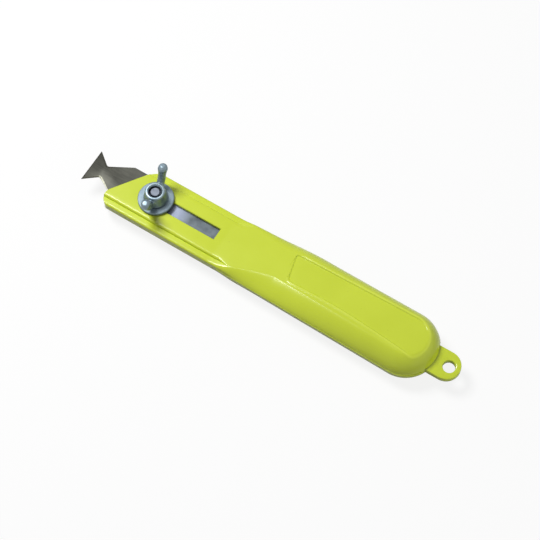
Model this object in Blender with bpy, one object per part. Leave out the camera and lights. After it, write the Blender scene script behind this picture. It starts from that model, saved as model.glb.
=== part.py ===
"""Roofing knife: two die-cast shells, a hook blade on a sliding carrier, clamped by a bolt and wing nut.

Units are metres. X runs along the knife (blade towards -X, hang tab towards +X) and Z comes out of the
front face. The knife lies on its back. Sizes along X are measured from the clamp bolt and sizes along Z from
the parting plane of the two shells; the last step moves everything to the part's own origin.
"""
import math

import bmesh
import bpy
from mathutils import Vector

MM = 0.001

# Gap left between pieces that touch, and wall of the castings.
GAP = 0.3 * MM
WALL = 1.8 * MM

# Clamp: bolt, slot, washer and wing nut.
BOLT_RADIUS = 3.0 * MM
THREAD_PITCH = 1.0 * MM
BOLT_HEAD_RADIUS = 6.0 * MM
BOLT_HEAD_HEIGHT = 2.6 * MM
SLOT_SIDE = 0.35 * MM
SLOT_END_SPARE = 0.8 * MM
TRAVEL = 33.0 * MM
WASHER_RADIUS = 9.3 * MM
WASHER_THICK = 1.6 * MM
NUT_BASE_WALL = 3.0 * MM
NUT_TOP_WALL = 1.7 * MM
NUT_HEIGHT = 7.4 * MM
WING_TIP = 13.4 * MM
WING_TOP = 15.0 * MM
WING_THICK = 2.6 * MM
WING_BEAD = 2.5 * MM
WING_ANGLE = math.radians(100.4)

# Blade: its lengths run forward from its rear edge.
BLADE_LENGTH = 35.4 * MM
BLADE_NECK_REACH = 27.9 * MM
BLADE_SHOULDER_REACH = 15.2 * MM
BLADE_TIP_HALF = 9.5 * MM
BLADE_NECK_HALF = 3.6 * MM
BLADE_HALF = 10.5 * MM
BLADE_THICK = 0.65 * MM
BLADE_CORNER = 2.0 * MM

# Carrier and the pins that hold the blade on it.
CARRIER_REAR_X = 17.0 * MM
CARRIER_SIDE = 0.5 * MM
CARRIER_THICK = 1.2 * MM
CARRIER_SETBACK = 3.0 * MM
CARRIER_CORNER = 4.0 * MM
TONGUE_COVER = 1.7 * MM
TONGUE_HALF = 2.1 * MM
PAD_SIDE = 3.2 * MM
PAD_WALL = 1.0 * MM
PIN_INSET = 3.9 * MM
PIN_Y = 5.5 * MM
PIN_RADIUS = 1.0 * MM
PIN_HEAD_SIDE = 0.8 * MM
PIN_HEAD_HEIGHT = 0.8 * MM

# Diagonal nose: a point on it at the centre line, its lean, and its two corner radii.
NOSE_X = -18.5 * MM
NOSE_LEAN = math.radians(35.2)
NOSE_RADIUS_HIGH = 13.0 * MM
NOSE_RADIUS_LOW = 5.5 * MM
NOSE_WALL = 2.4 * MM

# Outline of the two shells: sides of the head beyond the blade guide, and what the grip adds to them.
SIDE_SPINE = 3.7 * MM
SIDE_BELLY = 4.7 * MM
SPINE_SWELL = 2.8 * MM
SPINE_DRAW_IN = 0.6 * MM
BELLY_SWELL = 1.8 * MM
HEAD_SPARE = 6.6 * MM
GRIP_BLEND = 31.0 * MM
SPINE_RUN = 46.6 * MM
GRIP_LENGTH = 70.6 * MM

# Heights of the front shell: flat head, then a long even rise to the tail.
FACE_HEAD = 3.7 * MM
FACE_RISE = 6.3 * MM
RISE_LEAD = 2.4 * MM
FLANGE_STEP = 0.9 * MM
FLANGE_SPINE = 3.6 * MM
FLANGE_BELLY = 3.8 * MM
FLANGE_RUN = 9.0 * MM
STEP_RUN = 0.35 * MM
HEAD_EDGE = 1.2 * MM
SPINE_EDGE = 6.0 * MM
BELLY_EDGE = 9.6 * MM
BELLY_EDGE_TAIL = 7.8 * MM
BELLY_DROP_RUN = 14.0 * MM
# Power of the belly's side curve: 1 is an ellipse, more is flatter between its two ends.
BELLY_POWER = 1.35

# Depths of the rear shell: room below the bolt head, then a deeper grip.
BOLT_HEAD_SPARE = 1.05 * MM
BACK_DROP = 3.2 * MM
BACK_LAG = 2.6 * MM
BACK_RUN = 10.0 * MM
BACK_HEAD_EDGE = 5.0 * MM
BACK_GRIP_EDGE = 8.6 * MM

# Recessed panel on the grip.
PANEL_LAG = 3.0 * MM
PANEL_DEPTH = 0.5 * MM
PANEL_TOP = 10.9 * MM
PANEL_LOW_FRONT = 3.7 * MM
PANEL_LOW_TAIL = 10.2 * MM
PANEL_SLANT = 3.6 * MM
PANEL_TAIL_RUN = 5.0 * MM
PANEL_END_RADIUS = 10.2 * MM

# Screws that join the shells, driven from the back.
SCREW_RADIUS = 1.5 * MM
SCREW_HEAD_RADIUS = 2.7 * MM
SCREW_HEAD_HEIGHT = 1.8 * MM
SCREW_HEAD_SUNK = 0.5 * MM
SCREW_REACH = 3.35 * MM
BOSS_SIDE = 0.7 * MM
BOSS_CLEARANCE = 1.1 * MM
TAIL_SCREW_INSET = 6.6 * MM

# Spare blades on ribs in the grip.
SPARE_COUNT = 5
SPARE_SEAT = 4.5 * MM
RIB_THICK = 1.6 * MM
RIB_HALF = 6.0 * MM
RIB_INSET = 8.0 * MM
STOP_HEIGHT = 4.0 * MM

# Hang tab at the tail.
TAB_RADIUS = 7.6 * MM
TAB_REACH = 12.9 * MM
TAB_ROOT = 9.9 * MM
TAB_THICK = 3.6 * MM
TAB_HOLE_RADIUS = 3.2 * MM
TAB_HOLE_INSET = 5.8 * MM

# Fineness of round shapes.
ARC_STEPS = 7
DOME_STEPS = 14
ROUND = 32

# Derived sizes along X.
SLOT_HALF = BOLT_RADIUS + SLOT_SIDE
SLOT_FRONT_X = -BOLT_RADIUS - SLOT_END_SPARE
SLOT_REAR_X = BOLT_RADIUS + TRAVEL + SLOT_END_SPARE
PAD_FRONT_X = -BOLT_RADIUS - GAP - PAD_WALL
BLADE_REAR_X = PAD_FRONT_X - GAP
BLADE_TIP_X = BLADE_REAR_X - BLADE_LENGTH
BLADE_NECK_X = BLADE_REAR_X - BLADE_NECK_REACH
BLADE_SHOULDER_X = BLADE_REAR_X - BLADE_SHOULDER_REACH
PIN_X = BLADE_REAR_X - PIN_INSET
TONGUE_REAR_X = SLOT_REAR_X + TONGUE_COVER
BOSS_RADIUS = SCREW_HEAD_RADIUS + BOSS_SIDE
GRIP_SCREW_X = TONGUE_REAR_X + TRAVEL + BOSS_RADIUS + BOSS_CLEARANCE
HEAD_END = SLOT_REAR_X + HEAD_SPARE
RISE_START = HEAD_END - RISE_LEAD
FLANGE_END = HEAD_END + FLANGE_RUN
SPINE_FULL_X = HEAD_END + SPINE_RUN
BACK_START = HEAD_END + BACK_LAG
BACK_FULL = BACK_START + BACK_RUN
PANEL_X = GRIP_SCREW_X + PANEL_LAG
SPARE_FRONT_X = GRIP_SCREW_X + BOSS_RADIUS + BOSS_CLEARANCE
SPARE_REAR_X = SPARE_FRONT_X + BLADE_LENGTH
DOME_X = GRIP_SCREW_X + GRIP_LENGTH
TAIL_SCREW_X = DOME_X - TAIL_SCREW_INSET

# Derived half-widths.
GUIDE_HALF = BLADE_HALF + GAP
CARRIER_HALF = GUIDE_HALF - CARRIER_SIDE
PAD_HALF = BOLT_RADIUS + GAP + PAD_SIDE
HEAD_SPINE = GUIDE_HALF + SIDE_SPINE
HEAD_BELLY = GUIDE_HALF + SIDE_BELLY
SPINE_HALF = HEAD_SPINE + SPINE_SWELL
SPINE_TAIL = SPINE_HALF - SPINE_DRAW_IN
BELLY_TAIL = HEAD_BELLY + BELLY_SWELL
PLATEAU_SPINE = HEAD_SPINE - FLANGE_SPINE
PLATEAU_BELLY = HEAD_BELLY - FLANGE_BELLY
NUT_BASE_RADIUS = BOLT_RADIUS + GAP + NUT_BASE_WALL
NUT_TOP_RADIUS = BOLT_RADIUS + GAP + NUT_TOP_WALL
PIN_HEAD_RADIUS = PIN_RADIUS + PIN_HEAD_SIDE

# Derived heights.
FACE_TAIL = FACE_HEAD + FACE_RISE
ROOF_HEAD = FACE_HEAD - WALL
BLADE_TOP = ROOF_HEAD - GAP
BLADE_LOW = BLADE_TOP - BLADE_THICK
CARRIER_TOP = BLADE_LOW - GAP
CARRIER_LOW = CARRIER_TOP - CARRIER_THICK
BOLT_HEAD_TOP = CARRIER_LOW - GAP
BOLT_HEAD_LOW = BOLT_HEAD_TOP - BOLT_HEAD_HEIGHT
BACK_HEAD = BOLT_HEAD_SPARE + WALL - BOLT_HEAD_LOW
BACK_GRIP = BACK_HEAD + BACK_DROP
WASHER_LOW = FACE_HEAD + GAP
WASHER_HIGH = WASHER_LOW + WASHER_THICK
NUT_LOW = WASHER_HIGH + GAP
NUT_TOP = NUT_LOW + NUT_HEIGHT
BOLT_TOP = NUT_TOP - THREAD_PITCH
SCREW_TOP = 0.5 * GAP + SCREW_REACH
SPARE_PITCH = BLADE_THICK + GAP
SPARE_LOW = GAP - SPARE_SEAT
SPARE_HIGH = SPARE_LOW + SPARE_COUNT * SPARE_PITCH - GAP

# Derived places on the tail, and the move to the part's own origin.
TAIL_END_X = DOME_X + BELLY_TAIL
TAB_END_X = TAIL_END_X + TAB_REACH
TAB_ROOT_X = TAIL_END_X - TAB_ROOT
TAB_HOLE_X = TAB_END_X - TAB_HOLE_INSET
TAB_ARC_X = TAB_END_X - TAB_RADIUS
PART_CENTRE_X = 0.5 * (BLADE_TIP_X + TAB_END_X)
MOVE_TO_ORIGIN = Vector((-PART_CENTRE_X, 0.0, BACK_GRIP))

# Colours are linear red, green, blue.
PAINT = ((0.56, 0.66, 0.05), 0.28, 0.0)
BLADE_STEEL = ((0.10, 0.10, 0.08), 0.38, 0.9)
ZINC = ((0.42, 0.47, 0.50), 0.30, 1.0)
DARK_ZINC = ((0.22, 0.25, 0.28), 0.40, 1.0)
SCREW_STEEL = ((0.30, 0.31, 0.32), 0.35, 1.0)


def smooth(start, end, x):
    """0 before start, 1 after end, and an even S-curve between."""
    t = min(1.0, max(0.0, (x - start) / (end - start)))
    return t * t * (3.0 - 2.0 * t)


def mix(a, b, t):
    return a + (b - a) * t


def material(name, look):
    colour, roughness, metallic = look
    mat = bpy.data.materials.new(name)
    mat.use_nodes = True
    shader = mat.node_tree.nodes["Principled BSDF"]
    shader.inputs["Base Color"].default_value = (*colour, 1.0)
    shader.inputs["Roughness"].default_value = roughness
    shader.inputs["Metallic"].default_value = metallic
    return mat


def add_object(name, bm, look=None):
    """Turn a bmesh into a scene object; without a look it is a hidden cutter."""
    bmesh.ops.recalc_face_normals(bm, faces=bm.faces)
    mesh = bpy.data.meshes.new(name)
    bm.to_mesh(mesh)
    bm.free()
    obj = bpy.data.objects.new(name, mesh)
    bpy.context.scene.collection.objects.link(obj)
    if look is None:
        obj.hide_render = True
        obj.display_type = "WIRE"
    else:
        mesh.materials.append(material(name, look))
    return obj


def prism(name, outline, low, high, look=None):
    """A flat outline pulled from height low to height high; low may be a function of x."""
    bm = bmesh.new()
    floor = low if callable(low) else (lambda x: low)
    bottom = [bm.verts.new((x, y, floor(x))) for x, y in outline]
    top = [bm.verts.new((x, y, high)) for x, y in outline]
    bm.faces.new(bottom)
    bm.faces.new(top)
    count = len(outline)
    for i in range(count):
        k = (i + 1) % count
        bm.faces.new((bottom[i], bottom[k], top[k], top[i]))
    return add_object(name, bm, look)


def block(name, x0, x1, half, low, high, look=None):
    return prism(name, [(x0, -half), (x1, -half), (x1, half), (x0, half)], low, high, look)


def circle(x, y, radius, steps=ROUND):
    turn = 2.0 * math.pi / steps
    return [(x + radius * math.cos(i * turn), y + radius * math.sin(i * turn)) for i in range(steps)]


def turned(name, profile, x, y, look=None, steps=ROUND):
    """A solid of revolution about a vertical axis; profile is (radius, height) from bottom to top."""
    bm = bmesh.new()
    rings = [[bm.verts.new((px, py, z)) for px, py in circle(x, y, r, steps)] for r, z in profile]
    bm.faces.new(rings[0])
    bm.faces.new(rings[-1])
    for low, high in zip(rings, rings[1:]):
        for i in range(steps):
            k = (i + 1) % steps
            bm.faces.new((low[i], low[k], high[k], high[i]))
    return add_object(name, bm, look)


def combine(obj, other, operation):
    """Apply one exact Boolean and delete the other solid."""
    mod = obj.modifiers.new("cut", "BOOLEAN")
    mod.operation = operation
    mod.solver = "EXACT"
    mod.object = other
    graph = bpy.context.evaluated_depsgraph_get()
    mesh = bpy.data.meshes.new_from_object(obj.evaluated_get(graph))
    obj.modifiers.clear()
    old = obj.data
    obj.data = mesh
    mesh.name = old.name
    bpy.data.meshes.remove(old)
    bpy.data.objects.remove(other)
    return obj


def cut(obj, other):
    return combine(obj, other, "DIFFERENCE")


def join(obj, other):
    return combine(obj, other, "UNION")


def tidy(obj):
    """Merge stray points and mark round sides smooth."""
    bm = bmesh.new()
    bm.from_mesh(obj.data)
    bmesh.ops.remove_doubles(bm, verts=bm.verts, dist=2e-6)
    bmesh.ops.dissolve_degenerate(bm, edges=bm.edges, dist=2e-6)
    bmesh.ops.recalc_face_normals(bm, faces=bm.faces)
    bmesh.ops.triangulate(bm, faces=bm.faces)
    bm.to_mesh(obj.data)
    bm.free()
    obj.data.shade_smooth()
    obj.data.set_sharp_from_angle(angle=math.radians(35.0))
    return obj


def face_height(x):
    """Height of the front face above the parting plane."""
    t = min(1.0, max(0.0, (x - RISE_START) / (DOME_X - RISE_START)))
    return mix(FACE_HEAD, FACE_TAIL, t)


def back_depth(x):
    return mix(BACK_HEAD, BACK_GRIP, smooth(BACK_START, BACK_FULL, x))


def half_width(x, side):
    """The spine (+1) swells early and then draws in a little; the belly (-1) widens evenly to the tail."""
    if side > 0 and x < SPINE_FULL_X:
        return mix(HEAD_SPINE, SPINE_HALF, smooth(HEAD_END, SPINE_FULL_X, x))
    if side > 0:
        return mix(SPINE_HALF, SPINE_TAIL, (x - SPINE_FULL_X) / (DOME_X - SPINE_FULL_X))
    t = min(1.0, max(0.0, (x - HEAD_END) / (DOME_X - HEAD_END)))
    return mix(HEAD_BELLY, BELLY_TAIL, t)


def grip_blend(x):
    return smooth(HEAD_END, HEAD_END + GRIP_BLEND, x)


def front_edge(x, side):
    """How far the rounded side reaches in over the front face."""
    if side > 0:
        return mix(HEAD_EDGE, SPINE_EDGE, grip_blend(x))
    start = HEAD_END + GRIP_BLEND
    full = mix(BELLY_EDGE, BELLY_EDGE_TAIL, min(1.0, max(0.0, (x - start) / (DOME_X - start))))
    even = min(1.0, max(0.0, (x - HEAD_END) / GRIP_BLEND))
    return mix(HEAD_EDGE, full, mix(even, grip_blend(x), 0.4))


def side_drop(x, side):
    """How far the side's curve has opened from the head's small edge to the grip's full depth."""
    return smooth(HEAD_END, HEAD_END + (GRIP_BLEND if side > 0 else BELLY_DROP_RUN), x)


def rib(width, top, base, edge_in, edge_down, step, shelf, power=1.0):
    """Half a cross-section, from the parting plane up and in: (distance from the centre, height)."""
    shoulder = top - step
    points = [(width, base)]
    for k in range(ARC_STEPS + 1):
        angle = 0.5 * math.pi * k / ARC_STEPS
        points.append((width - edge_in * (1.0 - max(0.0, math.cos(angle)) ** power),
                       shoulder - edge_down * (1.0 - math.sin(angle) ** power)))
    points.append((shelf + STEP_RUN, shoulder))
    points.append((shelf, top))
    return points


def front_outer(x, side):
    width = half_width(x, side)
    top = face_height(x)
    edge = front_edge(x, side)
    fade = smooth(HEAD_END, FLANGE_END, x)
    step = mix(FLANGE_STEP, 0.0, fade)
    drop = side_drop(x, side)
    edge_down = mix(HEAD_EDGE, top - 1.0 * MM, drop)
    power = 1.0 if side > 0 else mix(1.0, BELLY_POWER, drop)
    plateau = PLATEAU_SPINE if side > 0 else PLATEAU_BELLY
    shelf = min(plateau, width - edge - 3.0 * STEP_RUN)
    return rib(width, top, 0.5 * GAP, edge, edge_down, step, shelf, power)


def front_inner(x, side):
    blend = smooth(HEAD_END, HEAD_END + 0.6 * GRIP_BLEND, x)
    width = mix(GUIDE_HALF, half_width(x, side) - 1.1 * WALL, blend)
    top = face_height(x) - WALL
    edge = mix(0.4 * MM, max(0.5 * MM, front_edge(x, side) - WALL), blend)
    edge_down = mix(0.4 * MM, top - 1.0 * MM, blend)
    power = 1.0 if side > 0 else mix(1.0, BELLY_POWER, blend)
    return rib(width, top, -3.0 * MM, edge, edge_down, 0.0, width - edge - 3.0 * STEP_RUN, power)


def rear_outer(x, side):
    width = half_width(x, side)
    top = back_depth(x)
    edge = mix(BACK_HEAD_EDGE, BACK_GRIP_EDGE, grip_blend(x))
    return rib(width, top, 0.5 * GAP, edge, top - 1.0 * MM, 0.0, width - edge - 3.0 * STEP_RUN)


def rear_inner(x, side):
    blend = grip_blend(x)
    width = mix(GUIDE_HALF, half_width(x, side) - 1.1 * WALL, blend)
    top = back_depth(x) - WALL
    edge = mix(1.5 * MM, BACK_GRIP_EDGE - WALL, blend)
    return rib(width, top, -3.0 * MM, edge, top - 1.0 * MM, 0.0, width - edge - 3.0 * STEP_RUN)


def stations():
    """Places along X where a cross-section is set: close together only where the shape changes."""
    head = [nose_x(-HEAD_BELLY) - 10.0 * MM, BACK_START, RISE_START]
    blend = [HEAD_END + GRIP_BLEND * k / 12.0 for k in range(13)]
    grip = [SPINE_FULL_X - 9.0 * MM, SPINE_FULL_X, 0.5 * (SPINE_FULL_X + DOME_X), DOME_X]
    return sorted(head + blend + grip)


def body_solid(name, section, facing, look=None):
    """Solid half-body: ribs along the spine, round the tail dome and back along the belly."""
    bm = bmesh.new()
    xs = stations()
    crown = [bm.verts.new((x, 0.0, facing * section(x, 1)[-1][1])) for x in xs]
    ribs = []
    for x, top in zip(xs, crown):
        ribs.append(([bm.verts.new((x, d, facing * z)) for d, z in section(x, 1)], top))
    spine, belly = section(DOME_X, 1), section(DOME_X, -1)
    for k in range(1, DOME_STEPS):
        t = k / DOME_STEPS
        angle = math.pi * (0.5 - t)
        points = [(mix(a[0], b[0], t), mix(a[1], b[1], t)) for a, b in zip(spine, belly)]
        verts = [bm.verts.new((DOME_X + d * math.cos(angle), d * math.sin(angle), facing * z))
                 for d, z in points]
        ribs.append((verts, crown[-1]))
    for x, top in zip(reversed(xs), reversed(crown)):
        ribs.append(([bm.verts.new((x, -d, facing * z)) for d, z in section(x, -1)], top))
    for (first, top_a), (second, top_b) in zip(ribs, ribs[1:]):
        for j in range(len(first) - 1):
            bm.faces.new((first[j], second[j], second[j + 1], first[j + 1]))
        corner = (first[-1], second[-1], top_b) if top_a is top_b else (first[-1], second[-1], top_b, top_a)
        bm.faces.new(corner)
    front = ribs[0][0] + [crown[0]] + list(reversed(ribs[-1][0]))
    bm.faces.new(front)
    bm.faces.new([verts[0] for verts, _ in ribs])
    bmesh.ops.triangulate(bm, faces=bm.faces)
    return add_object(name, bm, look)


def rounded_corner(before, corner, after, radius, steps=8):
    """Points of an arc that rounds one corner of an outline."""
    a = (Vector(before) - Vector(corner)).normalized()
    b = (Vector(after) - Vector(corner)).normalized()
    half = 0.5 * a.angle(b)
    reach = radius / math.tan(half)
    centre = Vector(corner) + (a + b).normalized() * (radius / math.sin(half))
    start = Vector(corner) + a * reach - centre
    end = Vector(corner) + b * reach - centre
    turn = start.angle_signed(end)
    points = []
    for k in range(steps + 1):
        spin = -turn * k / steps
        c, s = math.cos(spin), math.sin(spin)
        points.append((centre.x + c * start.x - s * start.y, centre.y + s * start.x + c * start.y))
    return points


def nose_x(y, setback=0.0):
    return NOSE_X + y * math.tan(NOSE_LEAN) + setback / math.cos(NOSE_LEAN)


def nose_cutter(name, setback):
    """Everything in front of the diagonal nose, pulled back by setback."""
    spine = HEAD_SPINE + 0.15 * MM - setback
    belly = -HEAD_BELLY - 0.15 * MM + setback
    far = 0.5 * HEAD_END
    high = (nose_x(spine, setback), spine)
    low = (nose_x(belly, setback), belly)
    upper = rounded_corner((far, spine), high, low, max(1.0 * MM, NOSE_RADIUS_HIGH - setback))
    lower = rounded_corner(high, low, (far, belly), max(1.0 * MM, NOSE_RADIUS_LOW - setback))
    outline = [(far, spine)] + upper + lower + [(far, belly)]
    reach = 2.0 * HEAD_END
    outline += [(far, -reach), (-reach, -reach), (-reach, reach), (far, reach)]
    return prism(name, outline, -reach, reach)


def tab_outline(grow):
    """Straight sides and a half-round end."""
    steps = 20
    radius = TAB_RADIUS + grow
    points = [(TAB_ROOT_X - grow, radius), (TAB_ROOT_X - grow, -radius)]
    for k in range(steps + 1):
        angle = math.pi * (k / steps - 0.5)
        points.append((TAB_ARC_X + radius * math.cos(angle), radius * math.sin(angle)))
    return points


def panel_outline():
    low_left = (PANEL_X + 0.5 * PANEL_SLANT, -PANEL_LOW_FRONT)
    top_left = (PANEL_X - 0.5 * PANEL_SLANT, PANEL_TOP)
    low_right = (DOME_X + PANEL_TAIL_RUN, -PANEL_LOW_TAIL)
    points = rounded_corner((DOME_X, PANEL_TOP), top_left, low_left, 1.2 * MM, 4)
    points += rounded_corner(top_left, low_left, low_right, 2.5 * MM, 5)
    points.append(low_right)
    steps = 14
    for k in range(3, steps):
        angle = math.pi * (k / steps - 0.5)
        half = mix(PANEL_LOW_TAIL, PANEL_TOP, k / steps)
        points.append((DOME_X + PANEL_END_RADIUS * math.cos(angle), half * math.sin(angle)))
    points.append((DOME_X, PANEL_TOP))
    return points


def panel_floor(x):
    """The floor keeps the slope of the grip, so it fades out over the level tail."""
    slope = (FACE_TAIL - FACE_HEAD) / (DOME_X - RISE_START)
    return FACE_HEAD + slope * (x - RISE_START) - PANEL_DEPTH


def build_front_shell():
    shell = body_solid("front_shell", front_outer, 1.0, PAINT)
    cut(shell, body_solid("front_hollow", front_inner, 1.0))
    cut(shell, nose_cutter("front_nose", 0.0))
    for x in (GRIP_SCREW_X, TAIL_SCREW_X):
        high = face_height(x) - 0.5 * WALL
        join(shell, turned("boss", [(BOSS_RADIUS, 0.5 * GAP), (BOSS_RADIUS, high)], x, 0.0))
        pilot = SCREW_RADIUS + GAP
        cut(shell, turned("pilot", [(pilot, -WALL), (pilot, SCREW_TOP + GAP)], x, 0.0))
    for x in (SPARE_FRONT_X + RIB_INSET, SPARE_REAR_X - RIB_INSET):
        low = SPARE_HIGH + GAP
        join(shell, block("rib", x, x + RIB_THICK, RIB_HALF, low, face_height(x) - 0.5 * WALL))
    cut(shell, block("slot", SLOT_FRONT_X, SLOT_REAR_X, SLOT_HALF, 0.0, 2.0 * FACE_TAIL))
    cut(shell, prism("panel", panel_outline(), panel_floor, 2.0 * FACE_TAIL))
    high = 0.5 * TAB_THICK + GAP
    cut(shell, prism("tab_notch", tab_outline(GAP), -TAB_THICK, high))
    return tidy(shell)


def build_rear_shell():
    shell = body_solid("rear_shell", rear_outer, -1.0, PAINT)
    hollow = body_solid("rear_hollow", rear_inner, -1.0)
    cut(hollow, nose_cutter("rear_hollow_nose", NOSE_WALL))
    cut(shell, hollow)
    cut(shell, nose_cutter("rear_nose", 0.0))
    for x in (SPARE_FRONT_X + RIB_INSET, SPARE_REAR_X - RIB_INSET):
        join(shell, block("rib", x, x + RIB_THICK, RIB_HALF, 0.5 * WALL - BACK_GRIP, -SPARE_SEAT))
    stop = SPARE_REAR_X + GAP
    low = 0.5 * WALL - BACK_GRIP
    join(shell, block("stop", stop, stop + RIB_THICK, RIB_HALF, low, STOP_HEIGHT - SPARE_SEAT))
    join(shell, prism("tab", tab_outline(0.0), -0.5 * TAB_THICK, 0.5 * TAB_THICK))
    bore = [(TAB_HOLE_RADIUS, -TAB_THICK), (TAB_HOLE_RADIUS, TAB_THICK)]
    cut(shell, turned("tab_hole", bore, TAB_HOLE_X, 0.0))
    for x in (GRIP_SCREW_X, TAIL_SCREW_X):
        floor = 0.5 * WALL - BACK_GRIP
        join(shell, turned("boss", [(BOSS_RADIUS + GAP, floor), (BOSS_RADIUS + GAP, -0.5 * GAP)], x, 0.0))
        hole = SCREW_RADIUS + GAP
        sink = SCREW_HEAD_RADIUS + GAP
        depth = SCREW_HEAD_SUNK + SCREW_HEAD_HEIGHT + GAP - BACK_GRIP
        cut(shell, turned("hole", [(hole, -2.0 * BACK_GRIP), (hole, BACK_GRIP)], x, 0.0))
        cut(shell, turned("sink", [(sink, -2.0 * BACK_GRIP), (sink, depth)], x, 0.0))
    return tidy(shell)


def blade_outline():
    """Fishtail with a hooked notch on each side and a plain rectangular shank."""
    tip = (BLADE_TIP_X, BLADE_TIP_HALF)
    neck = (BLADE_NECK_X, BLADE_NECK_HALF)
    shoulder = (BLADE_SHOULDER_X, BLADE_HALF)
    side = [tip]
    side += rounded_corner(tip, neck, shoulder, 1.6 * MM, 5)
    side += rounded_corner(neck, shoulder, (BLADE_REAR_X, BLADE_HALF), BLADE_CORNER, 3)
    side += [(BLADE_REAR_X - BLADE_CORNER, BLADE_HALF), (BLADE_REAR_X, BLADE_HALF - BLADE_CORNER)]
    return side + [(x, -y) for x, y in reversed(side)]


def build_blade(name, shift, low):
    outline = [(x + shift, y) for x, y in blade_outline()]
    blade = prism(name, outline, low, low + BLADE_THICK, BLADE_STEEL)
    hole = PIN_RADIUS + GAP
    for y in (PIN_Y, -PIN_Y):
        drill = turned("pin_hole", [(hole, low - WALL), (hole, low + WALL)], PIN_X + shift, y, steps=16)
        cut(blade, drill)
    return tidy(blade)


def build_carrier():
    """Sliding plate: its front carries the blade, the pad and narrow tongue behind it run under the slot."""
    half = CARRIER_HALF
    setback = CARRIER_SETBACK
    high = (nose_x(half, setback), half)
    low = (nose_x(-half, setback), -half)
    outline = rounded_corner((CARRIER_REAR_X, half), high, low, CARRIER_CORNER, 5)
    outline += rounded_corner(high, low, (CARRIER_REAR_X, -half), CARRIER_CORNER, 5)
    outline += [(CARRIER_REAR_X, -half), (CARRIER_REAR_X, half)]
    carrier = prism("blade_carrier", outline, CARRIER_LOW, CARRIER_TOP, DARK_ZINC)
    pad_low = CARRIER_TOP - 0.5 * CARRIER_THICK
    pad_rear = CARRIER_REAR_X - 0.5 * MM
    join(carrier, block("pad", PAD_FRONT_X, pad_rear, PAD_HALF, pad_low, BLADE_TOP))
    join(carrier, block("tongue", 0.5 * CARRIER_REAR_X, TONGUE_REAR_X, TONGUE_HALF, CARRIER_LOW + 0.2 * MM,
                        CARRIER_TOP + 0.4 * MM))
    square = BOLT_RADIUS + GAP
    cut(carrier, block("square", -square, square, square, -WALL, FACE_HEAD))
    hole = PIN_RADIUS + GAP
    for y in (PIN_Y, -PIN_Y):
        cut(carrier, turned("pin_hole", [(hole, -WALL), (hole, FACE_HEAD)], PIN_X, y, steps=16))
    return tidy(carrier)


def build_pin(name, y):
    """Headed pin pushed up through the carrier into the blade."""
    head_top = CARRIER_LOW - GAP
    head_low = head_top - PIN_HEAD_HEIGHT
    profile = [(PIN_HEAD_RADIUS, head_low), (PIN_HEAD_RADIUS, head_top), (PIN_RADIUS, head_top)]
    profile += [(PIN_RADIUS, BLADE_TOP - 0.2 * MM), (0.7 * PIN_RADIUS, BLADE_TOP)]
    return tidy(turned(name, profile, PIN_X, y, DARK_ZINC, 20))


def build_bolt():
    """Square-necked bolt: the neck sits in the carrier, the shank passes the slot, washer and nut."""
    low = BOLT_HEAD_LOW
    profile = [(0.55 * BOLT_HEAD_RADIUS, low), (0.85 * BOLT_HEAD_RADIUS, low + 0.5 * MM)]
    profile += [(BOLT_HEAD_RADIUS, low + 1.5 * MM), (BOLT_HEAD_RADIUS, BOLT_HEAD_TOP)]
    profile += [(BOLT_RADIUS, BOLT_HEAD_TOP), (BOLT_RADIUS, BOLT_TOP - 0.5 * MM)]
    profile += [(BOLT_RADIUS - 0.5 * MM, BOLT_TOP)]
    bolt = turned("clamp_bolt", profile, 0.0, 0.0, ZINC)
    half = BOLT_RADIUS - 0.01 * MM
    join(bolt, block("neck", -half, half, half, BOLT_HEAD_TOP - 0.5 * MM, CARRIER_TOP))
    return tidy(bolt)


def build_washer():
    edge = 0.2 * MM
    profile = [(WASHER_RADIUS - edge, WASHER_LOW), (WASHER_RADIUS, WASHER_LOW + edge)]
    profile += [(WASHER_RADIUS, WASHER_HIGH - edge), (WASHER_RADIUS - edge, WASHER_HIGH)]
    washer = turned("clamp_washer", profile, 0.0, 0.0, ZINC, 48)
    hole = BOLT_RADIUS + GAP
    cut(washer, turned("hole", [(hole, 0.0), (hole, 2.0 * NUT_TOP)], 0.0, 0.0))
    return tidy(washer)


def wing_outline():
    """Side view of one wing: radius outwards, height above the nut's seat."""
    bead = (WING_TIP - WING_BEAD, WING_TOP - WING_BEAD)
    points = [(3.5 * MM, 0.6 * MM), (NUT_BASE_RADIUS + 0.6 * MM, 0.6 * MM)]
    points += [(NUT_BASE_RADIUS + 1.9 * MM, 2.6 * MM), (WING_TIP - 1.6 * MM, 0.55 * WING_TOP)]
    for k in range(9):
        angle = math.radians(-35.0 + 210.0 * k / 8.0)
        points.append((bead[0] + WING_BEAD * math.cos(angle), bead[1] + WING_BEAD * math.sin(angle)))
    points += [(NUT_TOP_RADIUS + 1.6 * MM, 6.4 * MM), (3.5 * MM, 5.6 * MM)]
    return points


def build_wing(name, turn):
    bm = bmesh.new()
    along = Vector((math.cos(turn), math.sin(turn), 0.0))
    across = Vector((-math.sin(turn), math.cos(turn), 0.0)) * (0.5 * WING_THICK)
    up = Vector((0.0, 0.0, 1.0))
    outline = wing_outline()
    sides = []
    for sign in (-1.0, 1.0):
        sides.append([bm.verts.new(along * r + across * sign + up * (NUT_LOW + z)) for r, z in outline])
    bm.faces.new(sides[0])
    bm.faces.new(sides[1])
    for i in range(len(outline)):
        k = (i + 1) % len(outline)
        bm.faces.new((sides[0][i], sides[0][k], sides[1][k], sides[1][i]))
    wing = add_object(name, bm)
    soften = wing.modifiers.new("soften", "BEVEL")
    soften.width = 0.7 * MM
    soften.segments = 2
    soften.angle_limit = math.radians(60.0)
    return wing


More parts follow.
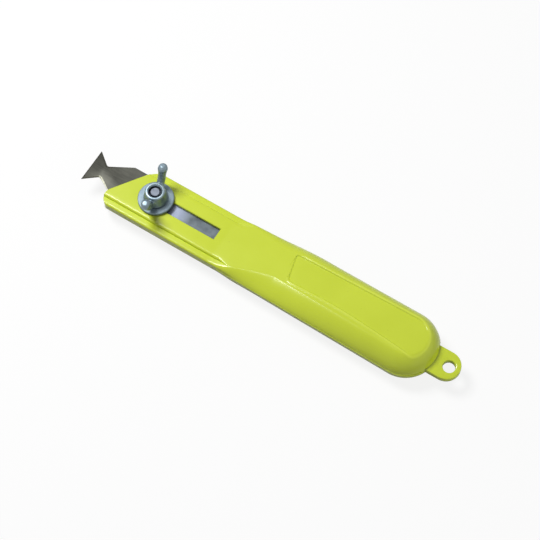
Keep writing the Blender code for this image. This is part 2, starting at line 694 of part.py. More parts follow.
def build_wing_nut():
    profile = [(NUT_BASE_RADIUS - 0.3 * MM, NUT_LOW), (NUT_BASE_RADIUS, NUT_LOW + 0.3 * MM)]
    profile += [(NUT_BASE_RADIUS, NUT_LOW + 1.2 * MM), (NUT_TOP_RADIUS, NUT_TOP - 0.4 * MM)]
    profile += [(NUT_TOP_RADIUS - 0.4 * MM, NUT_TOP)]
    nut = turned("wing_nut", profile, 0.0, 0.0, ZINC)
    join(nut, build_wing("wing_far", WING_ANGLE))
    join(nut, build_wing("wing_near", WING_ANGLE + math.pi))
    bore = BOLT_RADIUS + GAP
    cut(nut, turned("bore", [(bore, 0.0), (bore, 2.0 * NUT_TOP)], 0.0, 0.0))
    return tidy(nut)


def build_screw(name, x):
    low = SCREW_HEAD_SUNK - BACK_GRIP
    high = low + SCREW_HEAD_HEIGHT
    profile = [(SCREW_HEAD_RADIUS - 0.5 * MM, low), (SCREW_HEAD_RADIUS, low + 0.5 * MM)]
    profile += [(SCREW_HEAD_RADIUS, high), (SCREW_RADIUS, high)]
    profile += [(SCREW_RADIUS, SCREW_TOP - 0.8 * MM), (0.5 * SCREW_RADIUS, SCREW_TOP)]
    screw = turned(name, profile, x, 0.0, SCREW_STEEL, 24)
    wide, deep = 0.4 * MM, 1.0 * MM
    cut(screw, block("slot_x", x - 1.7 * MM, x + 1.7 * MM, wide, low - WALL, low + deep))
    cut(screw, block("slot_y", x - wide, x + wide, 1.7 * MM, low - WALL, low + deep))
    return tidy(screw)


def set_origin(obj, point):
    """Move the object's origin to a point on its joint axis without moving its shape."""
    for vertex in obj.data.vertices:
        vertex.co -= point
    obj.location = point + MOVE_TO_ORIGIN


def main():
    for obj in list(bpy.data.objects):
        bpy.data.objects.remove(obj)
    bolt_axis = Vector((0.0, 0.0, NUT_LOW))
    rest = Vector((0.0, 0.0, 0.0))
    pieces = [(build_front_shell(), rest), (build_rear_shell(), rest)]
    pieces.append((build_blade("hook_blade", 0.0, BLADE_LOW), rest))
    pieces.append((build_carrier(), rest))
    pieces.append((build_pin("carrier_pin_spine", PIN_Y), rest))
    pieces.append((build_pin("carrier_pin_belly", -PIN_Y), rest))
    pieces.append((build_bolt(), rest))
    pieces.append((build_washer(), bolt_axis))
    pieces.append((build_wing_nut(), bolt_axis))
    pieces.append((build_screw("shell_screw_grip", GRIP_SCREW_X), rest))
    pieces.append((build_screw("shell_screw_tail", TAIL_SCREW_X), rest))
    for k in range(SPARE_COUNT):
        shift = SPARE_FRONT_X - BLADE_TIP_X
        blade = build_blade("spare_blade_%d" % (k + 1), shift, SPARE_LOW + k * SPARE_PITCH)
        pieces.append((blade, rest))
    for obj, point in pieces:
        set_origin(obj, point)


main()
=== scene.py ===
# %% [markdown]
# # A roofing knife, finished around its CAD frame
#
# The CAD model gives every piece its place and its joint. This lesson gives the pieces their
# looks: smooth castings under gloss paint, a ground hook blade, and zinc-plated clamp hardware.
# Everything is in metres, in the frame of the CAD model, so a piece that is drawn at the right
# size is already in the right place.

# %% Load the frame and keep its box
import math

import bmesh
import bpy
import numpy as np
from mathutils import Matrix, Vector


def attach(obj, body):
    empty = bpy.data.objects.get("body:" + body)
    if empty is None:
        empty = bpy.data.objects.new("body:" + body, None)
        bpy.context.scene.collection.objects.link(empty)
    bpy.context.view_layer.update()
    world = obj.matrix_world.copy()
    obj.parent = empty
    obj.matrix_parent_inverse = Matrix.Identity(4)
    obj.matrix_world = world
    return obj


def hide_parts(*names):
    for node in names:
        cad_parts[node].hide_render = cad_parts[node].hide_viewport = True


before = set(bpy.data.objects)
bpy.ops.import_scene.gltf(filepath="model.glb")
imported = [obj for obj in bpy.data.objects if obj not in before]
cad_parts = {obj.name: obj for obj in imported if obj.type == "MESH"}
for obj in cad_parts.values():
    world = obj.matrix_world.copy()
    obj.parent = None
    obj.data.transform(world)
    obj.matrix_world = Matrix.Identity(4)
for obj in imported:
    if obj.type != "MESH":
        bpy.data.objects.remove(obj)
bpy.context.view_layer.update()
MM = 0.001

# %% [markdown]
# ## The photograph's camera
#
# The view was found by laying the CAD outline over the photograph: a long lens, looking down at
# 65 degrees from the belly side. A tracking constraint could aim the camera, but a matrix built
# from its three axes is exact and takes the small roll as well.

# %% Camera
AZIMUTH, ELEVATION, ROLL = math.radians(32.1), math.radians(65.4), math.radians(-0.26)
PARTING_HEIGHT = 0.0095
TARGET = Vector((0.0, 0.0, PARTING_HEIGHT))
DISTANCE = 1.0 / 1.149
PIXELS_PER_METRE = 1995.0
PHOTO = 540.0
PHOTO_CENTRE = (270.45, 267.1)
SENSOR = 36.0
CLIP = (0.01, 20.0)


def link(name, data):
    """Make an object of the data and put it in the scene."""
    obj = bpy.data.objects.new(name, data)
    bpy.context.scene.collection.objects.link(obj)
    return obj


outward = math.cos(ELEVATION)
back = Vector((math.sin(AZIMUTH) * outward, -math.cos(AZIMUTH) * outward, math.sin(ELEVATION)))
level = Vector((math.cos(AZIMUTH), math.sin(AZIMUTH), 0.0))
rise = back.cross(level)
right = math.cos(ROLL) * level + math.sin(ROLL) * rise
up = math.cos(ROLL) * rise - math.sin(ROLL) * level

camera = link("photo_camera", bpy.data.cameras.new("photo_camera"))
axes = Matrix((right, up, back)).transposed().to_4x4()
camera.matrix_world = Matrix.Translation(TARGET + back * DISTANCE) @ axes
camera.data.sensor_width = SENSOR
camera.data.lens = SENSOR * PIXELS_PER_METRE * DISTANCE / PHOTO
camera.data.shift_x = (0.5 * PHOTO - PHOTO_CENTRE[0]) / PHOTO
camera.data.shift_y = (PHOTO_CENTRE[1] - 0.5 * PHOTO) / PHOTO
camera.data.clip_start, camera.data.clip_end = CLIP
bpy.context.scene.camera = camera
print("lens %.1f mm" % camera.data.lens)

# %% [markdown]
# ## Helpers for node trees
#
# One function adds a node with its settings and links, for shaders and for geometry alike.
# Colours are written as the hex values a painter would pick and turned to linear light in one
# place.

# %% Node and colour helpers
def linear(hex_colour):
    """sRGB hex to a linear colour with alpha."""
    parts = [int(hex_colour[i:i + 2], 16) / 255.0 for i in (1, 3, 5)]
    return [c / 12.92 if c <= 0.04045 else ((c + 0.055) / 1.055) ** 2.4 for c in parts] + [1.0]


def feed(tree, node, inputs):
    """Link a node's inputs to sockets or to other nodes' results, or set a colour or value."""
    for name, value in inputs.items():
        if isinstance(value, bpy.types.Node):
            value = next(socket for socket in value.outputs if socket.enabled)
        if isinstance(value, bpy.types.NodeSocket):
            tree.links.new(value, node.inputs[name])
        else:
            node.inputs[name].default_value = linear(value) if isinstance(value, str) else value


def add(tree, kind, inputs=None, **settings):
    """Add a node with its settings and inputs."""
    made = tree.nodes.new(kind)
    for name, value in settings.items():
        setattr(made, name, value)
    feed(tree, made, inputs or {})
    return made


def new_material(name, colour, roughness, metallic=0.0):
    """A material with plain values; returned with its tree, shader and Object coordinates."""
    made = bpy.data.materials.new(name)
    made.use_nodes = True
    tree = made.node_tree
    shader = tree.nodes["Principled BSDF"]
    feed(tree, shader, {"Base Color": colour, "Roughness": roughness, "Metallic": metallic})
    place = add(tree, "ShaderNodeTexCoord").outputs["Object"]
    return made, tree, shader, place


print("yellow-green in linear light:", [round(c, 3) for c in linear("#C8D730")])

# %% [markdown]
# ## Gloss paint on die-cast metal
#
# The shells are cast, then sprayed and baked. Sprayed gloss paint never lies quite flat: it has
# an orange-peel ripple of one or two millimetres. Its colour drifts a little where the coat is
# thicker, and fine dust nibs sit in it. A noise at each of those sizes gives the eye all three.
# A fine bead is also painted paler, a painted highlight along it. That follows the shape, so the
# casting says where by an attribute.

# %% Paint material
DRIFT, NIB_SPACING, ORANGE_PEEL = 24.0 * MM, 5.0 * MM, 1.6 * MM


def paint_finish():
    made, tree, shader, place = new_material("gloss_paint_on_die_casting", "#C8D730", 0.3)
    drift = add(tree, "ShaderNodeTexNoise", {"Vector": place, "Scale": 1.0 / DRIFT, "Detail": 3.0})
    shade = add(tree, "ShaderNodeMix", {"Factor": drift, "A": "#C1D028", "B": "#CDDC37"},
                data_type="RGBA")
    nibs = add(tree, "ShaderNodeTexVoronoi", {
        "Vector": place, "Scale": 1.0 / NIB_SPACING, "Randomness": 1.0})
    spot = add(tree, "ShaderNodeMapRange", {
        "Value": nibs, "From Min": 0.03, "From Max": 0.07, "To Min": 0.35, "To Max": 0.0})
    speck = add(tree, "ShaderNodeMix", {"Factor": spot, "A": shade, "B": "#A2AD28"},
                data_type="RGBA")
    # Painted highlight: a paler colour along the panel's bead, placed by an attribute from the
    # casting.
    bead_highlight = add(tree, "ShaderNodeAttribute", attribute_name="painted_bead_highlight").outputs["Fac"]
    colour = add(tree, "ShaderNodeMix", {"Factor": bead_highlight, "A": speck, "B": "#DEEC50"},
                 data_type="RGBA")
    gloss = add(tree, "ShaderNodeMapRange", {"Value": drift, "To Min": 0.15, "To Max": 0.22})
    peel = add(tree, "ShaderNodeTexNoise", {
        "Vector": place, "Scale": 1.0 / ORANGE_PEEL, "Detail": 2.0})
    ripple = add(tree, "ShaderNodeBump", {"Height": peel, "Strength": 0.25, "Distance": 0.03 * MM})
    feed(tree, shader, {
        "Base Color": colour, "Roughness": gloss, "Normal": ripple, "Coat Weight": 0.06,
        "Coat Roughness": 0.12, "Specular IOR Level": 0.4})
    return made


PAINT = paint_finish()
print("made", PAINT.name)

# %% [markdown]
# ## Blade steel
#
# The blade is punched from hardened strip, left with its dark tempering skin on the flats, and
# ground only along the hooks. The skin has a fine lengthwise grain from rolling, and the ground
# bevels have lines across. Stretching a noise along one axis draws either. A rolled grain is
# about 0.05 mm wide, which is too fine to show here, so it is drawn at 0.4 mm.

# %% Blade materials
GRAIN, SKIN_CLOUD, GRIND_LINE = 0.4 * MM, 7.0 * MM, 0.3 * MM


def tempered_steel():
    made, tree, shader, place = new_material("tempered_blade_strip", "#565549", 0.42, 0.7)
    squeeze = add(tree, "ShaderNodeMapping", {"Vector": place, "Scale": (0.06, 1.0, 1.0)})
    grain = add(tree, "ShaderNodeTexNoise", {
        "Vector": squeeze, "Scale": 1.0 / GRAIN, "Detail": 4.0})
    cloud = add(tree, "ShaderNodeTexNoise", {
        "Vector": place, "Scale": 1.0 / SKIN_CLOUD, "Detail": 4.0})
    blend = add(tree, "ShaderNodeMix", {"Factor": 0.45, "A": grain, "B": cloud})
    shade = add(tree, "ShaderNodeMapRange", {"Value": blend, "From Min": 0.3, "From Max": 0.7})
    tone = add(tree, "ShaderNodeMix", {"Factor": shade, "A": "#2B2C27", "B": "#484841"},
               data_type="RGBA")
    rough = add(tree, "ShaderNodeMapRange", {"Value": grain, "To Min": 0.4, "To Max": 0.56})
    scratch = add(tree, "ShaderNodeBump", {"Height": grain, "Strength": 0.3, "Distance": 0.01 * MM})
    feed(tree, shader, {"Base Color": tone, "Roughness": rough, "Normal": scratch})
    return made


def ground_steel():
    made, tree, shader, place = new_material("ground_blade_edge", "#3A3A34", 0.3, 0.9)
    squeeze = add(tree, "ShaderNodeMapping", {"Vector": place, "Scale": (1.0, 0.05, 1.0)})
    lines = add(tree, "ShaderNodeTexNoise", {"Vector": squeeze, "Scale": 1.0 / GRIND_LINE})
    tone = add(tree, "ShaderNodeMix", {"Factor": lines, "A": "#26261F", "B": "#55554C"},
               data_type="RGBA")
    marks = add(tree, "ShaderNodeBump", {"Height": lines, "Strength": 0.3, "Distance": 0.008 * MM})
    feed(tree, shader, {"Base Color": tone, "Normal": marks})
    return made


BLADE_SKIN = tempered_steel()
BLADE_EDGE = ground_steel()
print("made", BLADE_SKIN.name, "and", BLADE_EDGE.name)

# %% [markdown]
# ## Zinc plate
#
# Washer, nut, bolt, carrier and screws are steel or cast zinc with a zinc coat. It is a
# blue-grey metal with cloudy patches, and on the cast nut a slightly pebbled skin. One function
# makes all five finishes, because on the real knife one plating bath gives them, brighter or
# darker by how each piece was made. On the carrier the end by the washer is painted brighter:
# painted light where the nut's shadow falls, fading to the darker plate down the slot.

# %% Zinc materials
ZINC_CLOUD, ZINC_SKIN = 4.0 * MM, 0.7 * MM


def zinc_plate(name, low, high, rough, pebble, lit_end=None):
    """Cloudy zinc; the last argument is a painted-light colour, the X where it starts to fade and
    where it ends.
    """
    made, tree, shader, place = new_material(name, low, rough, 0.95)
    cloud = add(tree, "ShaderNodeTexNoise", {
        "Vector": place, "Scale": 1.0 / ZINC_CLOUD, "Detail": 5.0})
    spread = add(tree, "ShaderNodeMapRange", {"Value": cloud, "From Min": 0.3, "From Max": 0.7})
    colour = add(tree, "ShaderNodeMix", {"Factor": spread, "A": low, "B": high}, data_type="RGBA")
    # Painted light: a brighter colour at low X, fading out towards higher X.
    if lit_end:
        bright, fade, end = lit_end
        x = add(tree, "ShaderNodeSeparateXYZ", {"Vector": place}).outputs["X"]
        lit_fade = add(tree, "ShaderNodeMapRange", {
            "Value": x, "From Min": fade, "From Max": end, "To Min": 1.0, "To Max": 0.0})
        colour = add(tree, "ShaderNodeMix", {"Factor": lit_fade, "A": colour, "B": bright},
                     data_type="RGBA")
    dull = add(tree, "ShaderNodeMapRange", {
        "Value": cloud, "To Min": rough - 0.06, "To Max": rough + 0.1})
    skin = add(tree, "ShaderNodeTexNoise", {
        "Vector": place, "Scale": 1.0 / ZINC_SKIN, "Detail": 2.0})
    bump = add(tree, "ShaderNodeBump", {"Height": skin, "Strength": pebble, "Distance": 0.04 * MM})
    feed(tree, shader, {"Base Color": colour, "Roughness": dull, "Normal": bump})
    return made


# Painted light on the carrier: brighter near the washer, where the nut's shadow falls, fading out
# further back.
PAINTED_LIGHT_END = ("#868DA2", -62.0 * MM, -48.0 * MM)
CAST_ZINC = zinc_plate("zinc_plated_casting", "#64747F", "#88979E", 0.42, 0.3)
TURNED_ZINC = zinc_plate("zinc_plated_steel", "#5F6D76", "#7F8E96", 0.55, 0.12)
BOLT_ZINC = zinc_plate("zinc_plated_bolt", "#454952", "#61666F", 0.38, 0.1)
CARRIER_ZINC = zinc_plate("zinc_plated_strip", "#3C4246", "#535A5F", 0.42, 0.1, PAINTED_LIGHT_END)
SCREW_ZINC = zinc_plate("zinc_plated_screw", "#8A9092", "#A8AEB0", 0.32, 0.08)
print("made five zinc finishes")

# %% [markdown]
# ## Solids from loops
#
# Most pieces are loops of points, one above the other, skinned into a solid: a turned piece is a
# stack of rings, and a block is a stack of rectangles. Blender's own primitives would do for the
# plain ones, but the same few lines also make the tapered and broken edges that real ones have.

# %% Number helpers
def clamp(t):
    return min(1.0, max(0.0, t))


def smooth(start, end, x):
    t = clamp((x - start) / (end - start))
    return t * t * (3.0 - 2.0 * t)


def mix(a, b, t):
    return a + (b - a) * t


def in_mm(points):
    return [(a * MM, b * MM) for a, b in points]


print("a quarter of the way along, a smooth step is at", smooth(0.0, 1.0, 0.25))

# %% Solids from loops
WELD = 1e-7


def from_bmesh(name, bm):
    bmesh.ops.remove_doubles(bm, verts=bm.verts, dist=WELD)
    bmesh.ops.dissolve_degenerate(bm, edges=bm.edges, dist=WELD)
    bmesh.ops.recalc_face_normals(bm, faces=bm.faces)
    mesh = bpy.data.meshes.new(name)
    bm.to_mesh(mesh)
    bm.free()
    return link(name, mesh)


def stack(name, loops, closed_ends=True):
    """Skin equal loops of points, one above the other, into a solid."""
    bm = bmesh.new()
    rings = [[bm.verts.new(p) for p in loop] for loop in loops]
    count = len(rings[0])
    for low, high in zip(rings, rings[1:]):
        for i in range(count):
            k = (i + 1) % count
            bm.faces.new((low[i], low[k], high[k], high[i]))
    if closed_ends:
        bm.faces.new(rings[0])
        bm.faces.new(rings[-1])
    return from_bmesh(name, bm)


def slab(name, levels):
    """Stack rectangles; a level is (height, low x, high x, half width)."""
    return stack(name, [[(x0, -y, z), (x1, -y, z), (x1, y, z), (x0, y, z)]
                        for z, x0, x1, y in levels])


def block(name, x0, x1, half, low, high):
    return slab(name, [(z, x0, x1, half) for z in (low, high)])


def ring(radius, z, x=0.0, y=0.0, steps=64):
    turn = 2.0 * math.pi / steps
    return [(x + radius * math.cos(i * turn), y + radius * math.sin(i * turn), z)
            for i in range(steps)]


def turned(name, profile, x=0.0, lift=0.0, steps=64, hollow=False):
    """Turn a profile of (radius, height) about an upright axis; a hollow one closes on itself."""
    line = profile + profile[:1] if hollow else profile
    return stack(name, [ring(r, lift + z, x, steps=steps) for r, z in line], not hollow)


print("ready to skin loops")

# %% [markdown]
# ## Finishing a piece
#
# Pieces are first drawn from the clamp bolt's axis at the parting plane of the two shells, as a
# tool maker would dimension them, and moved to the CAD frame at the end by one shift. A piece's
# object stays at the origin. Cuts are Booleans that are applied at once, so that every piece is
# a plain mesh when it is tied to its body.

# %% Cutting, joining and finishing
BOLT_AXIS = Vector((-0.0684, 0.0, PARTING_HEIGHT))


def baked(obj):
    """Turn an object with live modifiers into a plain mesh."""
    graph = bpy.context.evaluated_depsgraph_get()
    mesh = bpy.data.meshes.new_from_object(obj.evaluated_get(graph))
    old = obj.data
    obj.modifiers.clear()
    obj.data = mesh
    if old.users == 0:
        bpy.data.meshes.remove(old)
    return obj


def carve(obj, other, operation="DIFFERENCE"):
    cut = obj.modifiers.new("carve", "BOOLEAN")
    cut.operation, cut.solver, cut.object = operation, "EXACT", other
    baked(obj)
    bpy.data.objects.remove(other)
    return obj


def gather(obj, *others):
    """Put other solids into one object, as separate closed shells of the same piece."""
    bm = bmesh.new()
    for piece in (obj, *others):
        bm.from_mesh(piece.data)
    bm.to_mesh(obj.data)
    bm.free()
    for piece in others:
        bpy.data.objects.remove(piece)
    return obj


def finish_piece(obj, body, nodes, materials, sharp=32.0):
    """Move a piece from the bolt's axis to the CAD frame, shade it, and tie it to its body."""
    obj.data.transform(Matrix.Translation(BOLT_AXIS))
    obj.data.shade_smooth()
    obj.data.set_sharp_from_angle(angle=math.radians(sharp))
    if materials:
        obj.data.materials.clear()
        for made in materials:
            obj.data.materials.append(made)
    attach(obj, body)
    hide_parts(*nodes)
    triangles = sum(len(f.vertices) - 2 for f in obj.data.polygons)
    print("%s: %d triangles, rides on %s" % (obj.name, triangles, body))
    return obj


print("bolt axis at", tuple(round(c / MM, 1) for c in BOLT_AXIS), "mm")

# %% [markdown]
# ## The shape of the castings
#
# Each shell is one long form: a flat head, a waist, and a grip that swells to a round tail. A
# loft does this well: half cross-sections run down the spine, fan round the tail and come back
# along the belly. The rules below say how wide, how high and how rounded the section is at any
# place; a finer mesh only means more sections.

# %% Section rules
SPINE, BELLY = 1, -1
HEAD_END, DOME_X, SPINE_FULL_X = 43.4 * MM, 146.6 * MM, 90.0 * MM
HEAD_SPINE, HEAD_BELLY = 14.5 * MM, 15.5 * MM
SPINE_HALF, SPINE_TAIL, BELLY_TAIL = 17.3 * MM, 16.7 * MM, 17.3 * MM
FACE_HEAD, FACE_TAIL, RISE_START = 3.7 * MM, 10.0 * MM, 41.0 * MM
BACK_HEAD, BACK_GRIP = 6.3 * MM, 9.5 * MM
BACK_START, BACK_FULL = 46.0 * MM, 56.0 * MM
GRIP_BLEND = 31.0 * MM
EDGE_HEAD, EDGE_SPINE = 1.2 * MM, 5.4 * MM
EDGE_BELLY, EDGE_BELLY_TAIL, BELLY_EASE = 10.6 * MM, 8.3 * MM, 0.4
SEAM = 0.15 * MM
ARC_STEPS = 16


def half_width(x, side):
    if side == BELLY:
        return mix(HEAD_BELLY, BELLY_TAIL, clamp((x - HEAD_END) / (DOME_X - HEAD_END)))
    if x < SPINE_FULL_X:
        return mix(HEAD_SPINE, SPINE_HALF, smooth(HEAD_END, SPINE_FULL_X, x))
    return mix(SPINE_HALF, SPINE_TAIL, (x - SPINE_FULL_X) / (DOME_X - SPINE_FULL_X))


def face_height(x):
    return mix(FACE_HEAD, FACE_TAIL, clamp((x - RISE_START) / (DOME_X - RISE_START)))


def back_depth(x):
    return mix(BACK_HEAD, BACK_GRIP, smooth(BACK_START, BACK_FULL, x))


def front_edge(x, side):
    """How far the rounded side reaches in over the front face."""
    t = clamp((x - HEAD_END) / GRIP_BLEND)
    if side == SPINE:
        return mix(EDGE_HEAD, EDGE_SPINE, smooth(0.0, 1.0, t))
    run = DOME_X - HEAD_END - GRIP_BLEND
    full = mix(EDGE_BELLY, EDGE_BELLY_TAIL, clamp((x - HEAD_END - GRIP_BLEND) / run))
    return mix(EDGE_HEAD, full, mix(t, smooth(0.0, 1.0, t), BELLY_EASE))


def half_section(width, top, edge_in, edge_down, power=1.0):
    """Points (distance from the centre, height) up the wall and round the edge to the face.

    A power of 1 gives a quarter ellipse, and a larger one a flatter side.
    """
    points = [(width, SEAM)]
    for k in range(ARC_STEPS + 1):
        angle = 0.5 * math.pi * k / ARC_STEPS
        over, lift = max(0.0, math.cos(angle)) ** power, math.sin(angle) ** power
        points.append((width - edge_in * (1.0 - over), top - edge_down * (1.0 - lift)))
    return points


waist = half_width(HEAD_END, SPINE) + half_width(HEAD_END, BELLY)
print("waist is %.1f mm wide" % (waist / MM))

# %% [markdown]
# ## The recessed panel
#
# The grip carries a shallow sunk panel, left plain here, with a fine raised bead round its long
# edges. It could be cut with a Boolean, but a cut leaves a hard lip. Moving the loft's own
# points by their distance to the panel's outline gives the soft, paint-filled edge that the
# real panel has.

# %% Panel outline
PANEL_TOP = 10.9 * MM
PANEL_CORNERS = in_mm([(77.2, 10.9), (80.8, -3.9)])
PANEL_RADII, PANEL_RADIUS_STEPS = (1.2 * MM, 2.5 * MM), (5, 6)
PANEL_LOW_EDGE = in_mm([
    (105.0, -3.9), (113.0, -4.3), (120.0, -4.8), (128.0, -5.5), (136.0, -6.3), (146.0, -7.4),
    (152.6, -8.3), (154.4, -7.7)])
PANEL_TAIL_FIRST, PANEL_TAIL_STEPS = 9, 28


def round_corner(before, corner, after, radius, steps):
    """Points of the arc that rounds the corner between two straight lines."""
    a = (Vector(before) - Vector(corner)).normalized()
    b = (Vector(after) - Vector(corner)).normalized()
    half = 0.5 * a.angle(b)
    centre = Vector(corner) + (a + b).normalized() * (radius / math.sin(half))
    start = Vector(corner) + a * (radius / math.tan(half)) - centre
    turn = start.angle_signed(Vector(corner) + b * (radius / math.tan(half)) - centre)
    points = []
    for k in range(steps + 1):
        c, s = math.cos(-turn * k / steps), math.sin(-turn * k / steps)
        points.append((centre.x + c * start.x - s * start.y,
                       centre.y + s * start.x + c * start.y))
    return points


def rounded(line, radii, steps):
    """The arcs that round the two inner corners of a line of four points."""
    points = []
    for k, (radius, count) in enumerate(zip(radii, steps)):
        points += round_corner(*line[k:k + 3], radius, count)
    return points


def panel_outline():
    line = [(DOME_X, PANEL_TOP), *PANEL_CORNERS, PANEL_LOW_EDGE[0]]
    points = rounded(line, PANEL_RADII, PANEL_RADIUS_STEPS) + PANEL_LOW_EDGE
    for k in range(PANEL_TAIL_FIRST, PANEL_TAIL_STEPS + 1):
        angle = math.pi * (k / PANEL_TAIL_STEPS - 0.5)
        points.append((DOME_X + PANEL_TOP * math.cos(angle), PANEL_TOP * math.sin(angle)))
    return np.array(points)


PANEL = panel_outline()
print("panel outline has", len(PANEL), "points")

# %% Panel depth and bead
PANEL_DEPTH, PANEL_LEAD, PANEL_SLOPE = 0.5 * MM, 0.1 * MM, 0.6 * MM
BEAD_START, BEAD_RUN = 79.0 * MM, 6.0 * MM
BEAD_HEIGHT, BEAD_OUT, BEAD_WIDTH = 0.14 * MM, 0.7 * MM, 0.4 * MM
REACH_MOST, REACH_STEPS, REACH_ELSE = 13.0 * MM, 131, 4.0 * MM
LEVEL_EDGE = 1e-12


def inside_distance(points, outline):
    """Distance from each point to the outline, positive inside it."""
    ends = np.roll(outline, -1, axis=0)
    run = ends - outline
    offset = points[:, None, :] - outline[None]
    t = np.clip((offset * run).sum(-1) / (run * run).sum(-1), 0.0, 1.0)
    gap = np.linalg.norm(offset - t[..., None] * run, axis=-1).min(1)
    y, ya, yb = points[:, 1:2], outline[None, :, 1], ends[None, :, 1]
    span = np.where(np.abs(yb - ya) < LEVEL_EDGE, LEVEL_EDGE, yb - ya)
    crossing = outline[None, :, 0] + (y - ya) / span * run[None, :, 0]
    inside = (((ya > y) != (yb > y)) & (points[:, 0:1] < crossing)).sum(1) % 2 == 1
    return np.where(inside, gap, -gap)


def panel_reach(x, angle):
    """How far the panel reaches from a place on the middle line, in the direction of an angle."""
    reach = np.linspace(0.0, REACH_MOST, REACH_STEPS)
    points = np.stack([x + reach * math.cos(angle), reach * math.sin(angle)], axis=1)
    inside = inside_distance(points, PANEL) > 0.0
    return float(reach[inside].max()) if inside.any() else REACH_ELSE


def edge_band(x, inner, height, run, out, width):
    """A soft band just outside the panel's outline, fading in over a run from its front end."""
    along = np.clip((x - BEAD_START) / run, 0.0, 1.0)
    return height * along * np.exp(-((inner + out) / width) ** 2)


def sink_panel(points):
    """Lower the points of the front face that lie on the panel, and raise its bead."""
    slope = (FACE_TAIL - FACE_HEAD) / (DOME_X - RISE_START)
    floor = FACE_HEAD + slope * (points[:, 0] - RISE_START) - PANEL_DEPTH
    depth = np.clip(np.minimum(floor + PANEL_DEPTH, FACE_TAIL) - floor, 0.0, PANEL_DEPTH)
    inner = inside_distance(points[:, :2], PANEL)
    t = np.clip((inner + PANEL_LEAD) / PANEL_SLOPE, 0.0, 1.0)
    bead = edge_band(points[:, 0], inner, BEAD_HEIGHT, BEAD_RUN, BEAD_OUT, BEAD_WIDTH)
    points[:, 2] += bead - depth * t * t * (3.0 - 2.0 * t)
    return points


print("panel reaches %.1f mm above the middle line" % (panel_reach(DOME_X, 0.5 * math.pi) / MM))

# %% [markdown]
# ## Sections of the castings
#
# On the head the front casting has a raised face, a step down to a narrow flange, and on the
# belly side a groove at the step's foot. These fade out where the grip begins, and the sides
# become long roundings. The inner sections follow the outer ones, one wall further in, and on
# the head they leave the straight guide that the carrier runs in.

# %% Sections of the castings
WALL, GUIDE_HALF, UPRIGHT = 1.8 * MM, 10.8 * MM, 1.0 * MM
SIDE_WALL = 1.1 * WALL
STEP_END, STEP_HEIGHT, STEP_SOFT, STEP_ARC = 52.4 * MM, 0.9 * MM, (0.1 * MM, 1.4 * MM), 8
LEDGE = {SPINE: 1.5 * MM, BELLY: 1.7 * MM}
GROOVE = {SPINE: 0.0, BELLY: 0.42 * MM}
GROOVE_OUT, GROOVE_PROFILE = 1.65, ((1.6, 0.0), (1.45, 1.0), (1.15, 1.0))
DROP_RUN = {SPINE: GRIP_BLEND, BELLY: 14.0 * MM}
OUTER_POWER, INNER_POWER = {SPINE: 1.3, BELLY: 1.4}, {SPINE: 1.25, BELLY: 1.35}
INNER_RUN, INNER_EDGE, INNER_LEAST = 0.6 * GRIP_BLEND, 0.4 * MM, 0.5 * MM
BACK_EDGE_HEAD, BACK_EDGE_GRIP, BACK_EDGE_GUIDE = 5.0 * MM, 8.6 * MM, 1.5 * MM


def front_outer(x, side):
    """On the head, a groove and a step lie between the section's edge and its face."""
    width, top, edge = half_width(x, side), face_height(x), front_edge(x, side)
    head = 1.0 - smooth(HEAD_END, STEP_END, x)
    drop = smooth(HEAD_END, HEAD_END + DROP_RUN[side], x)
    step, soft = STEP_HEIGHT * head, mix(*STEP_SOFT, head)
    points = half_section(width, top - step, edge, mix(EDGE_HEAD, top - UPRIGHT, drop),
                          mix(1.0, OUTER_POWER[side], drop))
    shelf = width - edge - LEDGE[side] * head - GROOVE_OUT * soft
    for out, down in GROOVE_PROFILE:
        points.append((shelf + out * soft, top - step - down * GROOVE[side] * head))
    for k in range(STEP_ARC + 1):
        angle = 0.5 * math.pi * k / STEP_ARC
        points.append((shelf + soft * math.cos(angle), top - step * (1.0 - math.sin(angle))))
    return points


def front_inner(x, side):
    blend = smooth(HEAD_END, HEAD_END + INNER_RUN, x)
    width, top = mix(GUIDE_HALF, half_width(x, side) - SIDE_WALL, blend), face_height(x) - WALL
    edge = mix(INNER_EDGE, max(INNER_LEAST, front_edge(x, side) - WALL), blend)
    down = mix(INNER_EDGE, top - UPRIGHT, blend)
    return half_section(width, top, edge, down, mix(1.0, INNER_POWER[side], blend))


def rear_outer(x, side):
    edge = mix(BACK_EDGE_HEAD, BACK_EDGE_GRIP, smooth(HEAD_END, HEAD_END + GRIP_BLEND, x))
    return half_section(half_width(x, side), back_depth(x), edge, back_depth(x) - UPRIGHT)


def rear_inner(x, side):
    blend = smooth(HEAD_END, HEAD_END + GRIP_BLEND, x)
    width, top = mix(GUIDE_HALF, half_width(x, side) - SIDE_WALL, blend), back_depth(x) - WALL
    edge = mix(BACK_EDGE_GUIDE, BACK_EDGE_GRIP - WALL, blend)
    return half_section(width, top, edge, top - UPRIGHT)


print("a section of the front casting has", len(front_outer(DOME_X, BELLY)), "points")

# %% [markdown]
# ## Lofting a casting
#
# The outer skin and the inner skin are lofted the same way and joined round the rim, so the
# shell gets its wall without a Boolean. Sections are close together where the shape changes
# fast, and points are crowded at the panel's edge. Only the nose, the slot, the tab's notch and
# the screw sinks are cut afterwards.

# %% Places along and across
HEAD_STATIONS = (-42.0, -20.0, 0.0, 20.0, 36.0)
STATION_RUNS = ((39.0, 76.5, 0.75), (76.5, 82.5, 0.3), (82.5, 146.0, 1.5))
FACE_STEPS, CROWD_STEPS = 5, (4, 20, 22)
CROWD_OUT, CROWD_IN, SHELF_HIGH, SHELF_LOW = 1.5 * MM, 0.6 * MM, 0.05 * MM, 0.7 * MM


def stations():
    xs = list(HEAD_STATIONS)
    for run in STATION_RUNS:
        xs += list(np.arange(*run))
    return [x * MM for x in xs] + [DOME_X]


